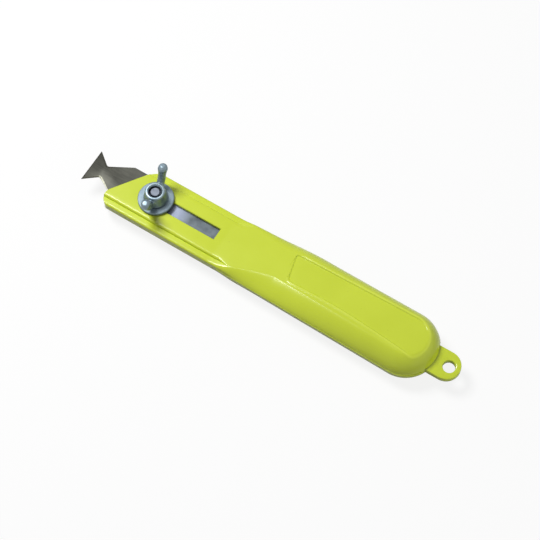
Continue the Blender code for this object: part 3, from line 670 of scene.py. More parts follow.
def across(shelf, x, angle, panel):
    """Places over the flat face from its edge to the middle, crowded at the panel's edge."""
    if not panel:
        return list(np.linspace(shelf, 0.0, FACE_STEPS))[1:]
    mark = panel_reach(x, angle)
    high, low = min(mark + CROWD_OUT, shelf - SHELF_HIGH), min(mark - CROWD_IN, shelf - SHELF_LOW)
    stops = (shelf, high, low, 0.0)
    runs = zip(stops, stops[1:], CROWD_STEPS)
    return [place for start, end, count in runs for place in np.linspace(start, end, count)[1:]]


print(len(stations()), "sections on each side")

# %% Loft
DOME_STEPS = 72


def skin(bm, section, facing, panel=False):
    """One lofted skin; returns its ribs, each a row of vertices from the rim to the middle."""
    xs = stations()
    spine, belly = section(DOME_X, SPINE), section(DOME_X, BELLY)
    ribs = [(x, 0.5 * math.pi, section(x, SPINE)) for x in xs]
    for k in range(1, DOME_STEPS):
        t = k / DOME_STEPS
        blend = [(mix(a[0], b[0], t), mix(a[1], b[1], t)) for a, b in zip(spine, belly)]
        ribs.append((DOME_X, math.pi * (0.5 - t), blend))
    ribs += [(x, -0.5 * math.pi, section(x, BELLY)) for x in reversed(xs)]
    rows = []
    for x, angle, points in ribs:
        shelf, top = points[-1]
        points = points + [(d, top) for d in across(shelf, x, angle, panel)]
        rows.append([(x + d * math.cos(angle), d * math.sin(angle), z) for d, z in points])
    places = np.array(rows)
    if panel:
        places = sink_panel(places.reshape(-1, 3)).reshape(places.shape)
    places[..., 2] *= facing
    made = [[bm.verts.new(p) for p in row] for row in places]
    for first, second in zip(made, made[1:]):
        for j in range(len(first) - 1):
            bm.faces.new((first[j], second[j], second[j + 1], first[j + 1]))
    return made


def loft_shell(name, outer, inner, facing, panel=False):
    bm = bmesh.new()
    outside, inside = skin(bm, outer, facing, panel), skin(bm, inner, facing)
    for (a, b), (c, d) in zip(zip(outside, outside[1:]), zip(inside, inside[1:])):
        bm.faces.new((a[0], b[0], d[0], c[0]))
    for end in (0, -1):
        bm.faces.new(outside[end] + inside[end][::-1])
    return from_bmesh(name, bm)


front = loft_shell("front_casting", front_outer, front_inner, 1.0, panel=True)
rear = loft_shell("rear_casting", rear_outer, rear_inner, -1.0)
print("lofted", len(front.data.polygons), "and", len(rear.data.polygons), "faces")

# %% [markdown]
# ## Nose and slot
#
# The nose is trimmed on a slant, so that the user sees the blade's root. The trim and the slot
# are cut with tools that flare out at the face: that leaves the small broken edge of a casting
# that has been tumbled, which catches a thin line of light.

# %% Nose and slot cuts
NOSE_X, NOSE_LEAN, NOSE_MARGIN = -18.5 * MM, math.radians(35.2), 0.15 * MM
NOSE_RADII, NOSE_RADIUS_LEAST, NOSE_STEPS = (13.0 * MM, 5.5 * MM), 1.0 * MM, (16, 16)
TRIM_REAR, TRIM_REACH, TRIM_DEPTH = 21.7 * MM, 86.8 * MM, 60.0 * MM
BROKEN = 0.35 * MM
SLOT_FRONT, SLOT_REAR, SLOT_HALF = -3.8 * MM, 36.8 * MM, 3.35 * MM
SLOT_FLARE = ((0.0, 0.0), (FACE_HEAD - 0.3 * MM, 0.0), (FACE_HEAD + 0.2 * MM, 0.5 * MM))


def nose_outline(setback):
    """The head's end as seen from the front, drawn back by a setback; and the block beyond it."""
    ys = HEAD_SPINE + NOSE_MARGIN - setback, -HEAD_BELLY - NOSE_MARGIN + setback
    high, low = [(NOSE_X + y * math.tan(NOSE_LEAN) + setback / math.cos(NOSE_LEAN), y) for y in ys]
    line = [(TRIM_REAR, ys[0]), high, low, (TRIM_REAR, ys[1])]
    radii = [max(NOSE_RADIUS_LEAST, radius - setback) for radius in NOSE_RADII]
    beyond = [(TRIM_REAR, -TRIM_REACH), (-TRIM_REACH, -TRIM_REACH), (-TRIM_REACH, TRIM_REACH),
              (TRIM_REAR, TRIM_REACH)]
    return line[:1] + rounded(line, radii, NOSE_STEPS) + line[-1:], beyond


def nose_tool(name, heights):
    """A trimming block; heights is a list of (z, setback)."""
    loops = []
    for z, setback in heights:
        trim, beyond = nose_outline(setback)
        loops.append([(x, y, z) for x, y in trim + beyond])
    return stack(name, loops)


carve(front, nose_tool("nose_trim", [
    (-TRIM_DEPTH, 0.0), (FACE_HEAD - BROKEN, 0.0), (FACE_HEAD + BROKEN, 2 * BROKEN),
    (TRIM_DEPTH, 2 * BROKEN)]))
carve(front, slab("slot_mill", [
    (z, SLOT_FRONT - grow, SLOT_REAR + grow, SLOT_HALF + grow) for z, grow in SLOT_FLARE]))
carve(rear, nose_tool("rear_trim", [(-TRIM_DEPTH, 0.0), (TRIM_DEPTH, 0.0)]))
print("after the cuts:", len(front.data.polygons), "and", len(rear.data.polygons), "faces")

# %% [markdown]
# ## Hang tab
#
# The tab is cast with the rear shell, and the front shell is notched to clear it. Its rim and
# its hole are both rounded over. A bevel would pinch where the straight root meets the arc, so
# the tab is built from loops that run from the hole to the rim, one ray at a time.

# %% Hang tab
TAB_HOLE_X, TAB_HOLE, TAB_HALF = 171.0 * MM, 3.2 * MM, 7.6 * MM
TAB_ARC_X, TAB_ROOT_X, TAB_END_X = 169.2 * MM, 154.0 * MM, 180.0 * MM
TAB_THICK, TAB_SOFT, TAB_STEPS = 3.6 * MM, 0.5 * MM, 96
NOTCH_GAP, NOTCH_HALF, NOTCH_LOW, NOTCH_TOP = 0.3 * MM, 7.9 * MM, -3.0 * MM, 2.1 * MM
TAB_FAR, STRAIGHT, TAB_SHOULDER = 1.0, 1e-9, 0.3


def tab_rim(angle, inset):
    """Where a ray from the hole's centre meets the tab's outline."""
    c, s = math.cos(angle), math.sin(angle)
    radius = TAB_HALF - inset
    reach = TAB_FAR
    if abs(s) > STRAIGHT:
        reach = min(reach, radius / abs(s))
    if c < -STRAIGHT:
        reach = min(reach, (TAB_ROOT_X - TAB_HOLE_X) / c)
    if TAB_HOLE_X + reach * c > TAB_ARC_X:
        shift = TAB_HOLE_X - TAB_ARC_X
        reach = -shift * c + math.sqrt(max(0.0, radius ** 2 - (shift * s) ** 2))
    return (TAB_HOLE_X + reach * c, reach * s)


def tab_hole(angle, inset):
    radius = TAB_HOLE + inset
    return (TAB_HOLE_X + radius * math.cos(angle), radius * math.sin(angle))


def build_tab():
    half = 0.5 * TAB_THICK
    rounding = [(0.0, -half + TAB_SOFT), (TAB_SHOULDER * TAB_SOFT, -half + TAB_SHOULDER * TAB_SOFT),
                (TAB_SOFT, -half)]
    profile = [(tab_hole, inset, z) for inset, z in rounding]
    profile += [(tab_rim, inset, z) for inset, z in reversed(rounding)]
    profile += [(outline, inset, -z) for outline, inset, z in reversed(profile)]
    turns = [2.0 * math.pi * i / TAB_STEPS for i in range(TAB_STEPS)]
    loops = [[(*outline(t, inset), z) for t in turns] for outline, inset, z in profile]
    return stack("hang_tab", loops + loops[:1], closed_ends=False)


carve(front, block("tab_notch", TAB_ROOT_X - NOTCH_GAP, TAB_END_X, NOTCH_HALF, NOTCH_LOW,
                   NOTCH_TOP))
tab = build_tab()
print("tab has", len(tab.data.polygons), "faces")

# %% [markdown]
# ## Inside the castings
#
# Each shell has screw bosses, and ribs that keep the spare blades in place. The rear one also
# has a stop behind them, a wall that closes the nose under the blade, and sinks for the screws'
# heads. Cast details like these are simple solids. They join the shell as closed shells of the
# same piece, which needs no Boolean.

# %% Sinks, bosses, ribs and nose wall
SCREWS_X, RIBS_X = (76.0 * MM, 140.0 * MM), (88.5 * MM, 107.9 * MM)
SINK = in_mm([(3.3, -12.0), (3.3, -9.4), (3.0, -9.1), (3.0, -6.9)])
REAR_BOSS, FRONT_BOSS, BOSS_BORE, BOSS_LOW = 3.7 * MM, 3.4 * MM, 1.8 * MM, -6.9 * MM
RIB_THICK, RIB_HALF, RIB_FRONT_LOW = 1.6 * MM, 6.0 * MM, 0.55 * MM
RIB_LOW, RIB_TOP = -8.6 * MM, -4.5 * MM
STOP_FRONT, STOP_REAR, STOP_TOP = 116.2 * MM, 117.8 * MM, -0.5 * MM
NOSE_WALL_HALF, NOSE_WALL_STEPS = 11.2 * MM, 24
NOSE_WALL_FACES, NOSE_WALL_HEIGHTS = (0.06 * MM, 2.4 * MM), (-5.4 * MM, -0.2 * MM)


def boss(name, outer, low, high, x):
    line = [(outer, low), (outer, high), (BOSS_BORE, high), (BOSS_BORE, low)]
    return turned(name, line, x, hollow=True)


def nose_wall():
    """A wall that follows the nose's slant, between two setbacks."""
    ys = np.linspace(-NOSE_WALL_HALF, NOSE_WALL_HALF, NOSE_WALL_STEPS)
    outline = []
    for setback, places in zip(NOSE_WALL_FACES, (ys, ys[::-1])):
        line = np.array(nose_outline(setback)[0][::-1])
        outline += [(np.interp(y, line[:, 1], line[:, 0]), y) for y in places]
    return stack("nose_wall", [[(x, y, z) for x, y in outline] for z in NOSE_WALL_HEIGHTS])


rear_parts, front_parts = [tab], []
for x in SCREWS_X:
    carve(rear, turned("sink", SINK, x))
    rear_parts.append(boss("rear_boss", REAR_BOSS, BOSS_LOW, -SEAM, x))
    front_parts.append(boss("front_boss", FRONT_BOSS, SEAM, face_height(x) - 0.5 * WALL, x))
for x in RIBS_X:
    rear_parts.append(block("rear_rib", x, x + RIB_THICK, RIB_HALF, RIB_LOW, RIB_TOP))
    front_parts.append(block("front_rib", x, x + RIB_THICK, RIB_HALF, RIB_FRONT_LOW,
                             face_height(x) - 0.5 * WALL))
rear_parts.append(block("stop", STOP_FRONT, STOP_REAR, RIB_HALF, RIB_LOW, STOP_TOP))
rear_parts.append(nose_wall())
gather(rear, *rear_parts)
gather(front, *front_parts)
print("added", len(rear_parts), "shapes to the rear and", len(front_parts), "to the front")

# %% [markdown]
# ## Painted highlight on the panel's bead
#
# The bead is painted a little paler than the face around it: a painted highlight along the raised
# line. The distance to the panel's outline is already at hand, and a number on every point
# carries it to the paint. Then both castings are finished.

# %% Painted bead highlight, and the castings finished
HIGHLIGHT_SHARE, HIGHLIGHT_RUN, HIGHLIGHT_OUT, HIGHLIGHT_WIDTH = 0.5, 5.0 * MM, 0.5 * MM, 0.5 * MM
HIGHLIGHT_LOWEST = 4.5 * MM

spots = np.array([v.co for v in front.data.vertices])
# Painted highlight along the panel's bead: a share of a paler colour, fading in from its front end.
painted_bead_highlight = edge_band(spots[:, 0], inside_distance(spots[:, :2], PANEL), HIGHLIGHT_SHARE, HIGHLIGHT_RUN,
                       HIGHLIGHT_OUT, HIGHLIGHT_WIDTH) * (spots[:, 2] > HIGHLIGHT_LOWEST)
front.data.attributes.new("painted_bead_highlight", "FLOAT", "POINT").data.foreach_set("value", painted_bead_highlight)
finish_piece(front, "housing", ["front_shell"], [PAINT])
finish_piece(rear, "housing", ["rear_shell"], [PAINT])

# %% [markdown]
# ## Helpers for Geometry Nodes
#
# What repeats or follows a path is made by Geometry Nodes. Each tree has named inputs for its
# sizes, and ends by making its instances real and giving them their finish. The result is kept
# as a plain mesh.

# %% Geometry Nodes helpers
def node_group(name, inputs):
    """A geometry tree with named inputs; returns the tree and the sockets that give them."""
    tree = bpy.data.node_groups.new(name, "GeometryNodeTree")
    for way in ("OUTPUT", "INPUT"):
        tree.interface.new_socket("Geometry", in_out=way, socket_type="NodeSocketGeometry")
    for label, kind in inputs.items():
        tree.interface.new_socket(label, in_out="INPUT", socket_type="NodeSocket" + kind)
    return tree, add(tree, "NodeGroupInput").outputs


def close_group(tree, given, geometry):
    """Make the instances real, give them their finish, and send them out."""
    real = add(tree, "GeometryNodeRealizeInstances", {"Geometry": geometry})
    dressed = add(tree, "GeometryNodeSetMaterial", {
        "Geometry": real, "Material": given["Finish"]})
    add(tree, "NodeGroupOutput", {"Geometry": dressed})
    return tree


def run_nodes(obj, tree, values):
    """Set the inputs by identifier, evaluate once, and keep a plain mesh."""
    names = {item.name: item.identifier for item in tree.interface.items_tree
             if item.in_out == "INPUT"}
    work = obj.modifiers.new(tree.name, "NODES")
    work.node_group = tree
    for label, value in values.items():
        work[names[label]] = value
    return baked(obj)


print("ready for Geometry Nodes")

# %% [markdown]
# ## The parting lip
#
# Where the two castings meet, the front one has a fine rounded lip that covers the joint. It
# follows the outline of the knife, and that is work for Geometry Nodes: a line of edges becomes
# a curve, and a small bead is swept along it. Changing the bead's radius is one number on the
# modifier.

# %% Lip by Geometry Nodes
LIP_RADIUS, LIP_SIDES, LIP_HEIGHT, LIP_INSET = 0.5 * MM, 10, 0.68 * MM, 0.2 * MM
LIP_BELLY_XS, LIP_SPINE_XS = np.arange(46.0, 146.0, 2.0), np.arange(145.0, 46.0, -2.0)
LIP_SWEEP, LIP_STEPS = 0.32 * math.pi, 24
LIP_BELLY_TURN, LIP_SPINE_TURN = -0.5 * math.pi, 0.18 * math.pi


def lip_nodes():
    """Sweep a bead along a line of edges."""
    tree, given = node_group("parting_lip", {"Bead radius": "Float", "Finish": "Material"})
    path = add(tree, "GeometryNodeMeshToCurve", {"Mesh": given["Geometry"]})
    bead = add(tree, "GeometryNodeCurvePrimitiveCircle", {
        "Resolution": LIP_SIDES, "Radius": given["Bead radius"]})
    swept = add(tree, "GeometryNodeCurveToMesh", {
        "Curve": path, "Profile Curve": bead, "Fill Caps": True})
    return close_group(tree, given, swept)


def tail_arc(radius, start):
    """The round tail from the belly or the spine, as far as the hang tab."""
    turns = [start + LIP_SWEEP * k / LIP_STEPS for k in range(LIP_STEPS + 1)]
    return [(DOME_X + radius * math.cos(t), radius * math.sin(t)) for t in turns]


def lip_line():
    belly = [(x * MM, -half_width(x * MM, BELLY)) for x in LIP_BELLY_XS]
    spine = [(x * MM, half_width(x * MM, SPINE)) for x in LIP_SPINE_XS]
    bm = bmesh.new()
    for run in (belly + tail_arc(BELLY_TAIL, LIP_BELLY_TURN),
                tail_arc(SPINE_TAIL, LIP_SPINE_TURN) + spine):
        row = [bm.verts.new((x, y - math.copysign(LIP_INSET, y), LIP_HEIGHT)) for x, y in run]
        for a, b in zip(row, row[1:]):
            bm.edges.new((a, b))
    mesh = bpy.data.meshes.new("parting_lip")
    bm.to_mesh(mesh)
    bm.free()
    return link("parting_lip", mesh)


lip = run_nodes(lip_line(), lip_nodes(), {"Bead radius": LIP_RADIUS, "Finish": PAINT})
finish_piece(lip, "housing", [], None, sharp=60.0)

# %% [markdown]
# ## The hook blade
#
# A fishtail blade has two hooked notches that pull shingles and felt towards the user. It is a
# flat strip whose hook edges are ground to a bevel from both sides. An outline with its own
# bevel width for every edge gives that: the flats are the outline moved in by that width, and
# the cutting line lies in the middle of the thickness.

# %% Blade outline
BLADE_TIP, BLADE_NECK, BLADE_SHOULDER, BLADE_REAR = in_mm([
    (-40.0, 9.5), (-32.5, 3.6), (-19.8, 10.5), (-4.6, 10.5)])
NECK_RADIUS, SHOULDER_RADIUS, REAR_CORNER = 1.6 * MM, 2.0 * MM, 2.0 * MM
NECK_STEPS, SHOULDER_STEPS = 8, 4
TIP_BEVEL, NECK_BEVEL, SHARPEST = 0.7 * MM, 1.0 * MM, 0.3


def blade_outline():
    """The blade's corners, each with the width of the ground bevel there."""
    x, y = BLADE_REAR
    neck = round_corner(BLADE_TIP, BLADE_NECK, BLADE_SHOULDER, NECK_RADIUS, NECK_STEPS)
    shoulder = round_corner(BLADE_NECK, BLADE_SHOULDER, BLADE_REAR, SHOULDER_RADIUS,
                            SHOULDER_STEPS)
    side = [(BLADE_TIP, TIP_BEVEL)] + [(p, NECK_BEVEL) for p in neck]
    side += [(p, 0.0) for p in shoulder + [(x - REAR_CORNER, y), (x, y - REAR_CORNER)]]
    return side + [((x, -y), width) for (x, y), width in reversed(side)]


def moved_in(outline):
    """Each corner moved in along its bisector, so that both its edges move by the bevel."""
    made = []
    for i, (point, width) in enumerate(outline):
        here, after = Vector(point), Vector(outline[(i + 1) % len(outline)][0])
        into, out = (here - Vector(outline[i - 1][0])).normalized(), (after - here).normalized()
        inward = Vector((into.y + out.y, -into.x - out.x)).normalized()
        share = max(SHARPEST, inward.dot(Vector((out.y, -out.x))))
        made.append(here + inward * (width / share))
    return made


print("blade outline has", len(blade_outline()), "corners")

# %% Blade
BLADE_THICK, BLADE_LOW, CUTTING_HALF = 0.65 * MM, 0.95 * MM, 0.03 * MM
FLAT_TILT, UPRIGHT_TILT = 0.98, 0.05
PIN_X, PIN_YS, PIN_HOLE, PIN_STEPS = -8.5 * MM, (5.5 * MM, -5.5 * MM), 1.3 * MM, 24
BLADE_HOLES = (0.0, 3.0 * MM)


def drill_pin_holes(solid, low, high):
    for y in PIN_YS:
        rings = [ring(PIN_HOLE, z, PIN_X, y, PIN_STEPS) for z in (low, high)]
        carve(solid, stack("pin_hole", rings))


def blade_solid(name):
    outline = blade_outline()
    flats = moved_in(outline)
    middle, half = BLADE_LOW + 0.5 * BLADE_THICK, 0.5 * BLADE_THICK
    loops = []
    for side in (-1.0, 1.0):
        flat = [(p.x, p.y, middle + side * half) for p in flats]
        edge = [(x, y, middle + side * (CUTTING_HALF if width else half))
                for (x, y), width in outline]
        loops += [flat, edge] if side < 0 else [edge, flat]
    solid = stack(name, loops)
    drill_pin_holes(solid, *BLADE_HOLES)
    solid.data.materials.append(BLADE_SKIN)
    solid.data.materials.append(BLADE_EDGE)
    for face in solid.data.polygons:
        face.material_index = 1 if UPRIGHT_TILT < abs(face.normal.z) < FLAT_TILT else 0
    return solid


blade = blade_solid("hook_blade_ground")
spare = blade.data.copy()
finish_piece(blade, "slide", ["hook_blade"], None, sharp=20.0)

# %% [markdown]
# ## Spare blades
#
# Five spares lie in a stack in the grip. A stack is a repeat, so one blade is placed on the
# points of a short vertical line by Geometry Nodes.

# %% Spare blades by Geometry Nodes
SPARES, SPARE_PITCH, SPARE_SHIFT, SPARE_LOW = 5, 0.95 * MM, 120.5 * MM, -4.2 * MM


def stack_nodes():
    """Set a blade on every point of an upright line."""
    tree, given = node_group("blade_stack", {
        "Count": "Int", "Pitch": "Float", "Finish": "Material"})
    step = add(tree, "ShaderNodeCombineXYZ", {"Z": given["Pitch"]})
    rungs = add(tree, "GeometryNodeMeshLine", {"Count": given["Count"], "Offset": step})
    placed = add(tree, "GeometryNodeInstanceOnPoints", {
        "Points": rungs, "Instance": given["Geometry"]})
    return close_group(tree, given, placed)


spare.transform(Matrix.Translation((SPARE_SHIFT, 0.0, SPARE_LOW - BLADE_LOW)))
spares = run_nodes(link("spare_blades", spare), stack_nodes(), {
    "Count": SPARES, "Pitch": SPARE_PITCH, "Finish": BLADE_SKIN})
finish_piece(spares, "housing", ["spare_blade_%d" % (k + 1) for k in range(SPARES)],
             None, sharp=20.0)

# %% [markdown]
# ## Washer
#
# A plain large washer, stamped from sheet: one edge is drawn over by the punch and the other is
# crisp. It is a profile turned about the bolt's axis.

# %% Washer
WASHER_PROFILE = in_mm([
    (3.3, 4.15), (3.45, 4.0), (9.1, 4.0), (9.25, 4.06), (9.3, 4.2), (9.3, 5.2), (9.24, 5.4),
    (9.1, 5.54), (8.85, 5.6), (3.6, 5.6), (3.38, 5.54), (3.3, 5.4)])
washer = turned("clamp_washer_stamped", WASHER_PROFILE, steps=96, hollow=True)
finish_piece(washer, "washer", ["clamp_washer"], [TURNED_ZINC])

# %% [markdown]
# ## Wing nut
#
# The nut is cast: its barrel tapers, and each wing leaves the barrel in a soft web and ends in a
# round bead. Such a blended form is easier to melt together than to draw, so simple solids are
# merged by a voxel remesh and smoothed. The bore is cut last, so that its edges stay crisp.

# %% Wing nut
NUT_LOW, WING_TURN, WING_STEPS = 5.9 * MM, math.radians(100.4), 16
WING_LINE = (  # radius, height, half depth and half thickness of each section, in mm
    (2.4, 3.0, 2.6, 2.5), (5.2, 3.3, 2.6, 2.3), (7.3, 4.6, 2.4, 2.0), (8.7, 6.6, 2.4, 2.05),
    (9.6, 8.7, 2.3, 2.0), (10.3, 10.6, 2.5, 2.25), (10.9, 12.3, 2.8, 2.6),
    (11.3, 13.6, 2.4, 2.25), (11.5, 14.7, 1.4, 1.3))
BARREL = in_mm([(5.9, 0.0), (6.3, 0.35), (6.3, 1.1), (6.1, 1.6), (5.05, 6.9), (4.7, 7.4)])
BORE = in_mm([(3.9, -1.0), (3.9, 0.3), (3.3, 0.8), (3.3, 6.7), (4.1, 7.6), (4.1, 12.0)])
VOXEL, SOFTEN_FACTOR, SOFTEN_TIMES = 0.28 * MM, 0.5, 5


def wing(name, turn):
    """A wing from oval sections, square to its middle line."""
    along = Vector((math.cos(turn), math.sin(turn), 0.0))
    across = Vector((-math.sin(turn), math.cos(turn), 0.0))
    turns = [2.0 * math.pi * i / WING_STEPS for i in range(WING_STEPS)]
    loops = []
    for k, (r, z, deep, wide) in enumerate(WING_LINE):
        before, after = WING_LINE[max(0, k - 1)], WING_LINE[min(len(WING_LINE) - 1, k + 1)]
        run = Vector((after[0] - before[0], after[1] - before[1])).normalized()
        over = Vector((0.0, 0.0, run.x)) - along * run.y
        centre = along * (r * MM) + Vector((0.0, 0.0, NUT_LOW + z * MM))
        loops.append([centre + across * (wide * MM * math.cos(t))
                      + over * (deep * MM * math.sin(t)) for t in turns])
    return stack(name, loops)


nut = turned("wing_nut_cast", BARREL, lift=NUT_LOW)
gather(nut, wing("far_wing", WING_TURN), wing("near_wing", WING_TURN + math.pi))
melt = nut.modifiers.new("melt", "REMESH")
melt.mode, melt.voxel_size = "VOXEL", VOXEL
soften = nut.modifiers.new("soften", "SMOOTH")
soften.factor, soften.iterations = SOFTEN_FACTOR, SOFTEN_TIMES
baked(nut)
carve(nut, turned("bore", BORE, lift=NUT_LOW))
finish_piece(nut, "nut", ["wing_nut"], [CAST_ZINC], sharp=40.0)

# %% [markdown]
# ## Clamp bolt
#
# The bolt stands up through carrier, slot, washer and nut. Its thread is a ridge that follows a
# helix: Geometry Nodes draw a spiral and sweep a small profile along it. The core is turned, and
# the square neck keeps the bolt from spinning in the carrier.

# %% Bolt and thread
THREAD_LOW, THREAD_TURNS, THREAD_PITCH = 3.6 * MM, 8.0, 1.0 * MM
THREAD_RADIUS, THREAD_RIDGE, THREAD_STEPS, RIDGE_SIDES = 2.7 * MM, 0.28 * MM, 40, 6
NECK_HALF, NECK_LOW, NECK_TOP = 2.99 * MM, -1.0 * MM, 0.65 * MM
BOLT_CORE = in_mm([
    (3.3, -3.45), (5.1, -2.95), (5.8, -2.3), (6.0, -1.7), (6.0, -1.05), (5.8, -0.85),
    (2.95, -0.85), (2.95, 1.2), (2.68, 1.4), (2.68, 11.7), (2.2, 12.3), (0.6, 12.3)])


def thread_nodes():
    """Sweep a ridge along a helix and join it to the core."""
    tree, given = node_group("bolt_thread", {
        "Radius": "Float", "Turns": "Float", "Height": "Float", "Ridge": "Float",
        "Finish": "Material"})
    helix = add(tree, "GeometryNodeCurveSpiral", {
        "Resolution": THREAD_STEPS, "Rotations": given["Turns"],
        "Start Radius": given["Radius"], "End Radius": given["Radius"],
        "Height": given["Height"]})
    ridge = add(tree, "GeometryNodeCurvePrimitiveCircle", {
        "Resolution": RIDGE_SIDES, "Radius": given["Ridge"]})
    swept = add(tree, "GeometryNodeCurveToMesh", {
        "Curve": helix, "Profile Curve": ridge, "Fill Caps": True})
    both = add(tree, "GeometryNodeJoinGeometry", {"Geometry": swept})
    feed(tree, both, {"Geometry": given["Geometry"]})
    return close_group(tree, given, both)


bolt = turned("clamp_bolt_threaded", BOLT_CORE)
gather(bolt, block("neck", -NECK_HALF, NECK_HALF, NECK_HALF, NECK_LOW, NECK_TOP))
bolt.data.transform(Matrix.Translation((0.0, 0.0, -THREAD_LOW)))
run_nodes(bolt, thread_nodes(), {
    "Radius": THREAD_RADIUS, "Turns": THREAD_TURNS, "Height": THREAD_TURNS * THREAD_PITCH,
    "Ridge": THREAD_RIDGE, "Finish": BOLT_ZINC})
bolt.data.transform(Matrix.Translation((0.0, 0.0, THREAD_LOW)))
finish_piece(bolt, "slide", ["clamp_bolt"], None)

# %% [markdown]
# ## Shell screws
#
# Two pan-head screws hold the castings together from the back. They are alike, so one screw with
# a cross recess is modelled and set on two points.

# %% Screws by Geometry Nodes
SCREW_PROFILE = in_mm([
    (1.0, -9.0), (1.9, -8.98), (2.45, -8.75), (2.7, -8.3), (2.7, -7.2), (1.5, -7.2), (1.5, 2.4),
    (1.4, 2.7), (0.6, 3.4)])
RECESS_LONG, RECESS_WIDE = 1.55 * MM, 0.36 * MM
RECESS_DEPTHS = ((-9.5 * MM, 1.0), (-9.0 * MM, 1.0), (-7.9 * MM, 0.35))


def screw_nodes():
    """Set a screw on every point."""
    tree, given = node_group("shell_screws", {"Screw": "Object", "Finish": "Material"})
    held = add(tree, "GeometryNodeObjectInfo", {"Object": given["Screw"]})
    placed = add(tree, "GeometryNodeInstanceOnPoints", {
        "Points": given["Geometry"], "Instance": held.outputs["Geometry"]})
    return close_group(tree, given, placed)


screw = turned("screw_master", SCREW_PROFILE, steps=40)
arms = [(z, RECESS_LONG * taper, RECESS_WIDE) for z, taper in RECESS_DEPTHS]
carve(screw, slab("cross_recess", [(z, -long, long, wide) for z, long, wide in arms]))
carve(screw, slab("cross_recess", [(z, -wide, wide, long) for z, long, wide in arms]))
screw_points = bpy.data.meshes.new("shell_screws")
screw_points.from_pydata([(x, 0.0, 0.0) for x in SCREWS_X], [], [])
screws = run_nodes(link("shell_screws", screw_points), screw_nodes(), {
    "Screw": screw, "Finish": SCREW_ZINC})
bpy.data.objects.remove(screw)
finish_piece(screws, "housing", ["shell_screw_grip", "shell_screw_tail"], None)

# %% [markdown]
# ## Carrier
#
# The carrier is a stamped plate under the blade, with a raised pad that runs on to the rear as a
# strip under the slot. In the photograph this strip fills the slot from wall to wall, so it is
# drawn wider and higher than the CAD tongue. Its upper edges are broken, as tumbled stampings
# have them.

# %% Carrier
CARRIER_LOW, CARRIER_TOP, CARRIER_REAR = -0.55 * MM, 0.65 * MM, 17.0 * MM
CARRIER_HALF, CARRIER_SETBACK = 10.3 * MM, 3.0 * MM
CARRIER_RADII, CARRIER_STEPS = (4.0 * MM, 4.0 * MM), (8, 8)
PAD_FRONT, PAD_REAR, PAD_HALF = -4.3 * MM, 38.5 * MM, 6.5 * MM
PAD_LOW, PAD_TOP, PAD_SOFT = 0.05 * MM, 1.6 * MM, 0.15 * MM
NECK_HOLE, HOLE_LOW, HOLE_TOP = 3.3 * MM, -2.0 * MM, 3.0 * MM


def carrier_plate():
    ys = CARRIER_HALF, -CARRIER_HALF
    high, low = [(NOSE_X + (y * math.sin(NOSE_LEAN) + CARRIER_SETBACK) / math.cos(NOSE_LEAN), y)
                 for y in ys]
    ends = [(CARRIER_REAR, y) for y in ys]
    line = [ends[0], high, low, ends[1]]
    outline = rounded(line, CARRIER_RADII, CARRIER_STEPS) + ends[::-1]
    return stack("blade_carrier_plated", [[(x, y, z) for x, y in outline]
                                          for z in (CARRIER_LOW, CARRIER_TOP)])


pad_levels = ((PAD_LOW, 0.0), (PAD_TOP - PAD_SOFT, 0.0), (PAD_TOP, PAD_SOFT))
pad = slab("pad_strip", [(z, PAD_FRONT + inset, PAD_REAR - inset, PAD_HALF - inset)
                         for z, inset in pad_levels])
carrier = carve(carrier_plate(), pad, "UNION")
carve(carrier, block("neck_hole", -NECK_HOLE, NECK_HOLE, NECK_HOLE, HOLE_LOW, HOLE_TOP))
drill_pin_holes(carrier, HOLE_LOW, HOLE_TOP)
finish_piece(carrier, "slide", ["blade_carrier"], [CARRIER_ZINC])

# %% [markdown]
# ## Pins
#
# The two pins that hold the blade on the carrier are plain plated pieces, hidden by the head.
# Their CAD shape is right, so they stay and only get their finish.

# %% Finish of the CAD pieces that stay
for name in ("carrier_pin_spine", "carrier_pin_belly"):
    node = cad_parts[name]
    node.data.materials.clear()
    node.data.materials.append(CARRIER_ZINC)
    print("finished", name)

# %% [markdown]
# ## Floor and room
#
# The photograph is a cut-out on white. A floor bright enough to look white would throw its light
# back onto the object, so the white is kept for the rays that see it: the camera's, and those
# that gloss or glass turns towards it. Light that bounces off the floor meets a grey table
# instead, and the room is dim for it. The floor keeps some plain paper in its mix, which takes
# the object's soft shadow.

# %% Rays that see the background
WHITE = 1.0


def grey(value):
    return (value, value, value, 1.0)


def seen_rays(tree):
    """Gives 1 for a camera ray, and again 1 for a camera, glossy or transmission ray."""
    rays = add(tree, "ShaderNodeLightPath").outputs
    mirrored = add(tree, "ShaderNodeMath", {
        0: rays["Is Glossy Ray"], 1: rays["Is Transmission Ray"]}, operation="MAXIMUM")
    seen = add(tree, "ShaderNodeMath", {0: rays["Is Camera Ray"], 1: mirrored},
               operation="MAXIMUM")
    return rays["Is Camera Ray"], seen


print("white is", grey(WHITE))

# %% Floor
FLOOR_CORNERS = [(-4.0, -4.0), (4.0, -4.0), (4.0, 4.0), (-4.0, 4.0)]
FLOOR_HEIGHT = -0.0002
PAPER, TABLE = 0.9, 0.22
FLOOR_GLOW, FLOOR_GLOW_SEEN = 0.1, 0.75


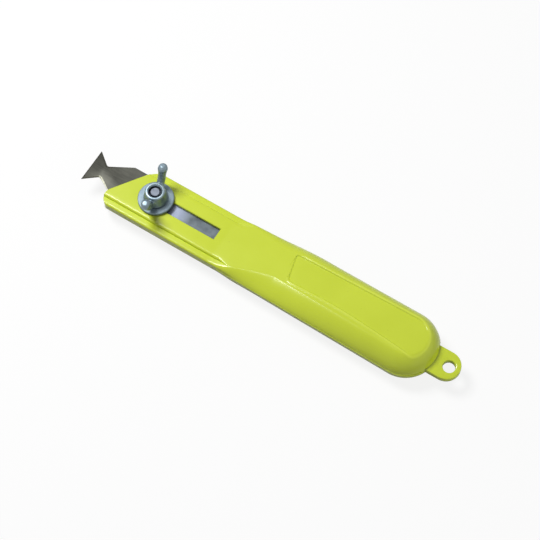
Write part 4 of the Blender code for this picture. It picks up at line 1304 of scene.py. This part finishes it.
def floor_finish():
    made = bpy.data.materials.new("white_studio_floor")
    made.use_nodes = True
    tree = made.node_tree
    tree.nodes.clear()
    camera_ray, seen_ray = seen_rays(tree)
    paper = add(tree, "ShaderNodeBsdfDiffuse", {"Color": grey(PAPER)})
    white = add(tree, "ShaderNodeEmission", {"Color": grey(WHITE), "Strength": 1.0})
    glow = add(tree, "ShaderNodeMath", {0: camera_ray, 1: FLOOR_GLOW_SEEN, 2: FLOOR_GLOW},
               operation="MULTIPLY_ADD")
    shown = add(tree, "ShaderNodeMixShader", {"Fac": glow, 1: paper, 2: white})
    table = add(tree, "ShaderNodeBsdfDiffuse", {"Color": grey(TABLE)})
    surface = add(tree, "ShaderNodeMixShader", {"Fac": seen_ray, 1: table, 2: shown})
    add(tree, "ShaderNodeOutputMaterial", {"Surface": surface})
    return made


floor_mesh = bpy.data.meshes.new("floor")
floor_mesh.from_pydata([(x, y, FLOOR_HEIGHT) for x, y in FLOOR_CORNERS], [], [(0, 1, 2, 3)])
floor_mesh.materials.append(floor_finish())
floor = link("floor", floor_mesh)
print("floor ready")

# %% Room
ROOM_DIM, ROOM_SEEN = 0.1, 0.9

world = bpy.data.worlds.new("studio")
world.use_nodes = True
room = world.node_tree
strength = add(room, "ShaderNodeMath", {0: seen_rays(room)[1], 1: ROOM_SEEN, 2: ROOM_DIM},
               operation="MULTIPLY_ADD")
feed(room, room.nodes["Background"], {"Color": grey(WHITE), "Strength": strength})
bpy.context.scene.world = world
print("room ready")

# %% [markdown]
# ## Lamps
#
# The photograph's light is soft and comes from the upper left. A large lamp gives it, at a level
# at which a colour renders about as it is written. A small weak lamp beside it draws the glint
# at the knee of the grip. A wide lamp beyond the tail lifts the shaded side. It is kept out of
# reflections, because the real knife shows no second window in its paint.

# %% Lamps
def softbox(name, place, aim, size, power, glints=True):
    lamp = bpy.data.lights.new(name, "AREA")
    lamp.shape, lamp.size, lamp.size_y, lamp.energy = "RECTANGLE", size[0], size[1], power
    obj = link(name, lamp)
    obj.location = place
    obj.rotation_mode = "QUATERNION"
    obj.rotation_quaternion = (Vector(aim) - Vector(place)).to_track_quat("-Z", "Y")
    obj.visible_glossy = glints


softbox("key_softbox", place=(-0.46, 0.06, 0.74), aim=(-0.03, 0.0, 0.0), size=(0.3, 0.3),
        power=7.0)
softbox("glint_lamp", place=(-0.224, 0.054, 0.674), aim=(0.006, -0.006, 0.015),
        size=(0.06, 0.06), power=0.14)
softbox("tail_softbox", place=(0.75, -0.05, 0.2), aim=(0.05, 0.0, 0.0), size=(1.0, 0.4),
        power=2.6, glints=False)
bpy.context.scene.view_settings.view_transform = "Standard"
print("lamps ready")
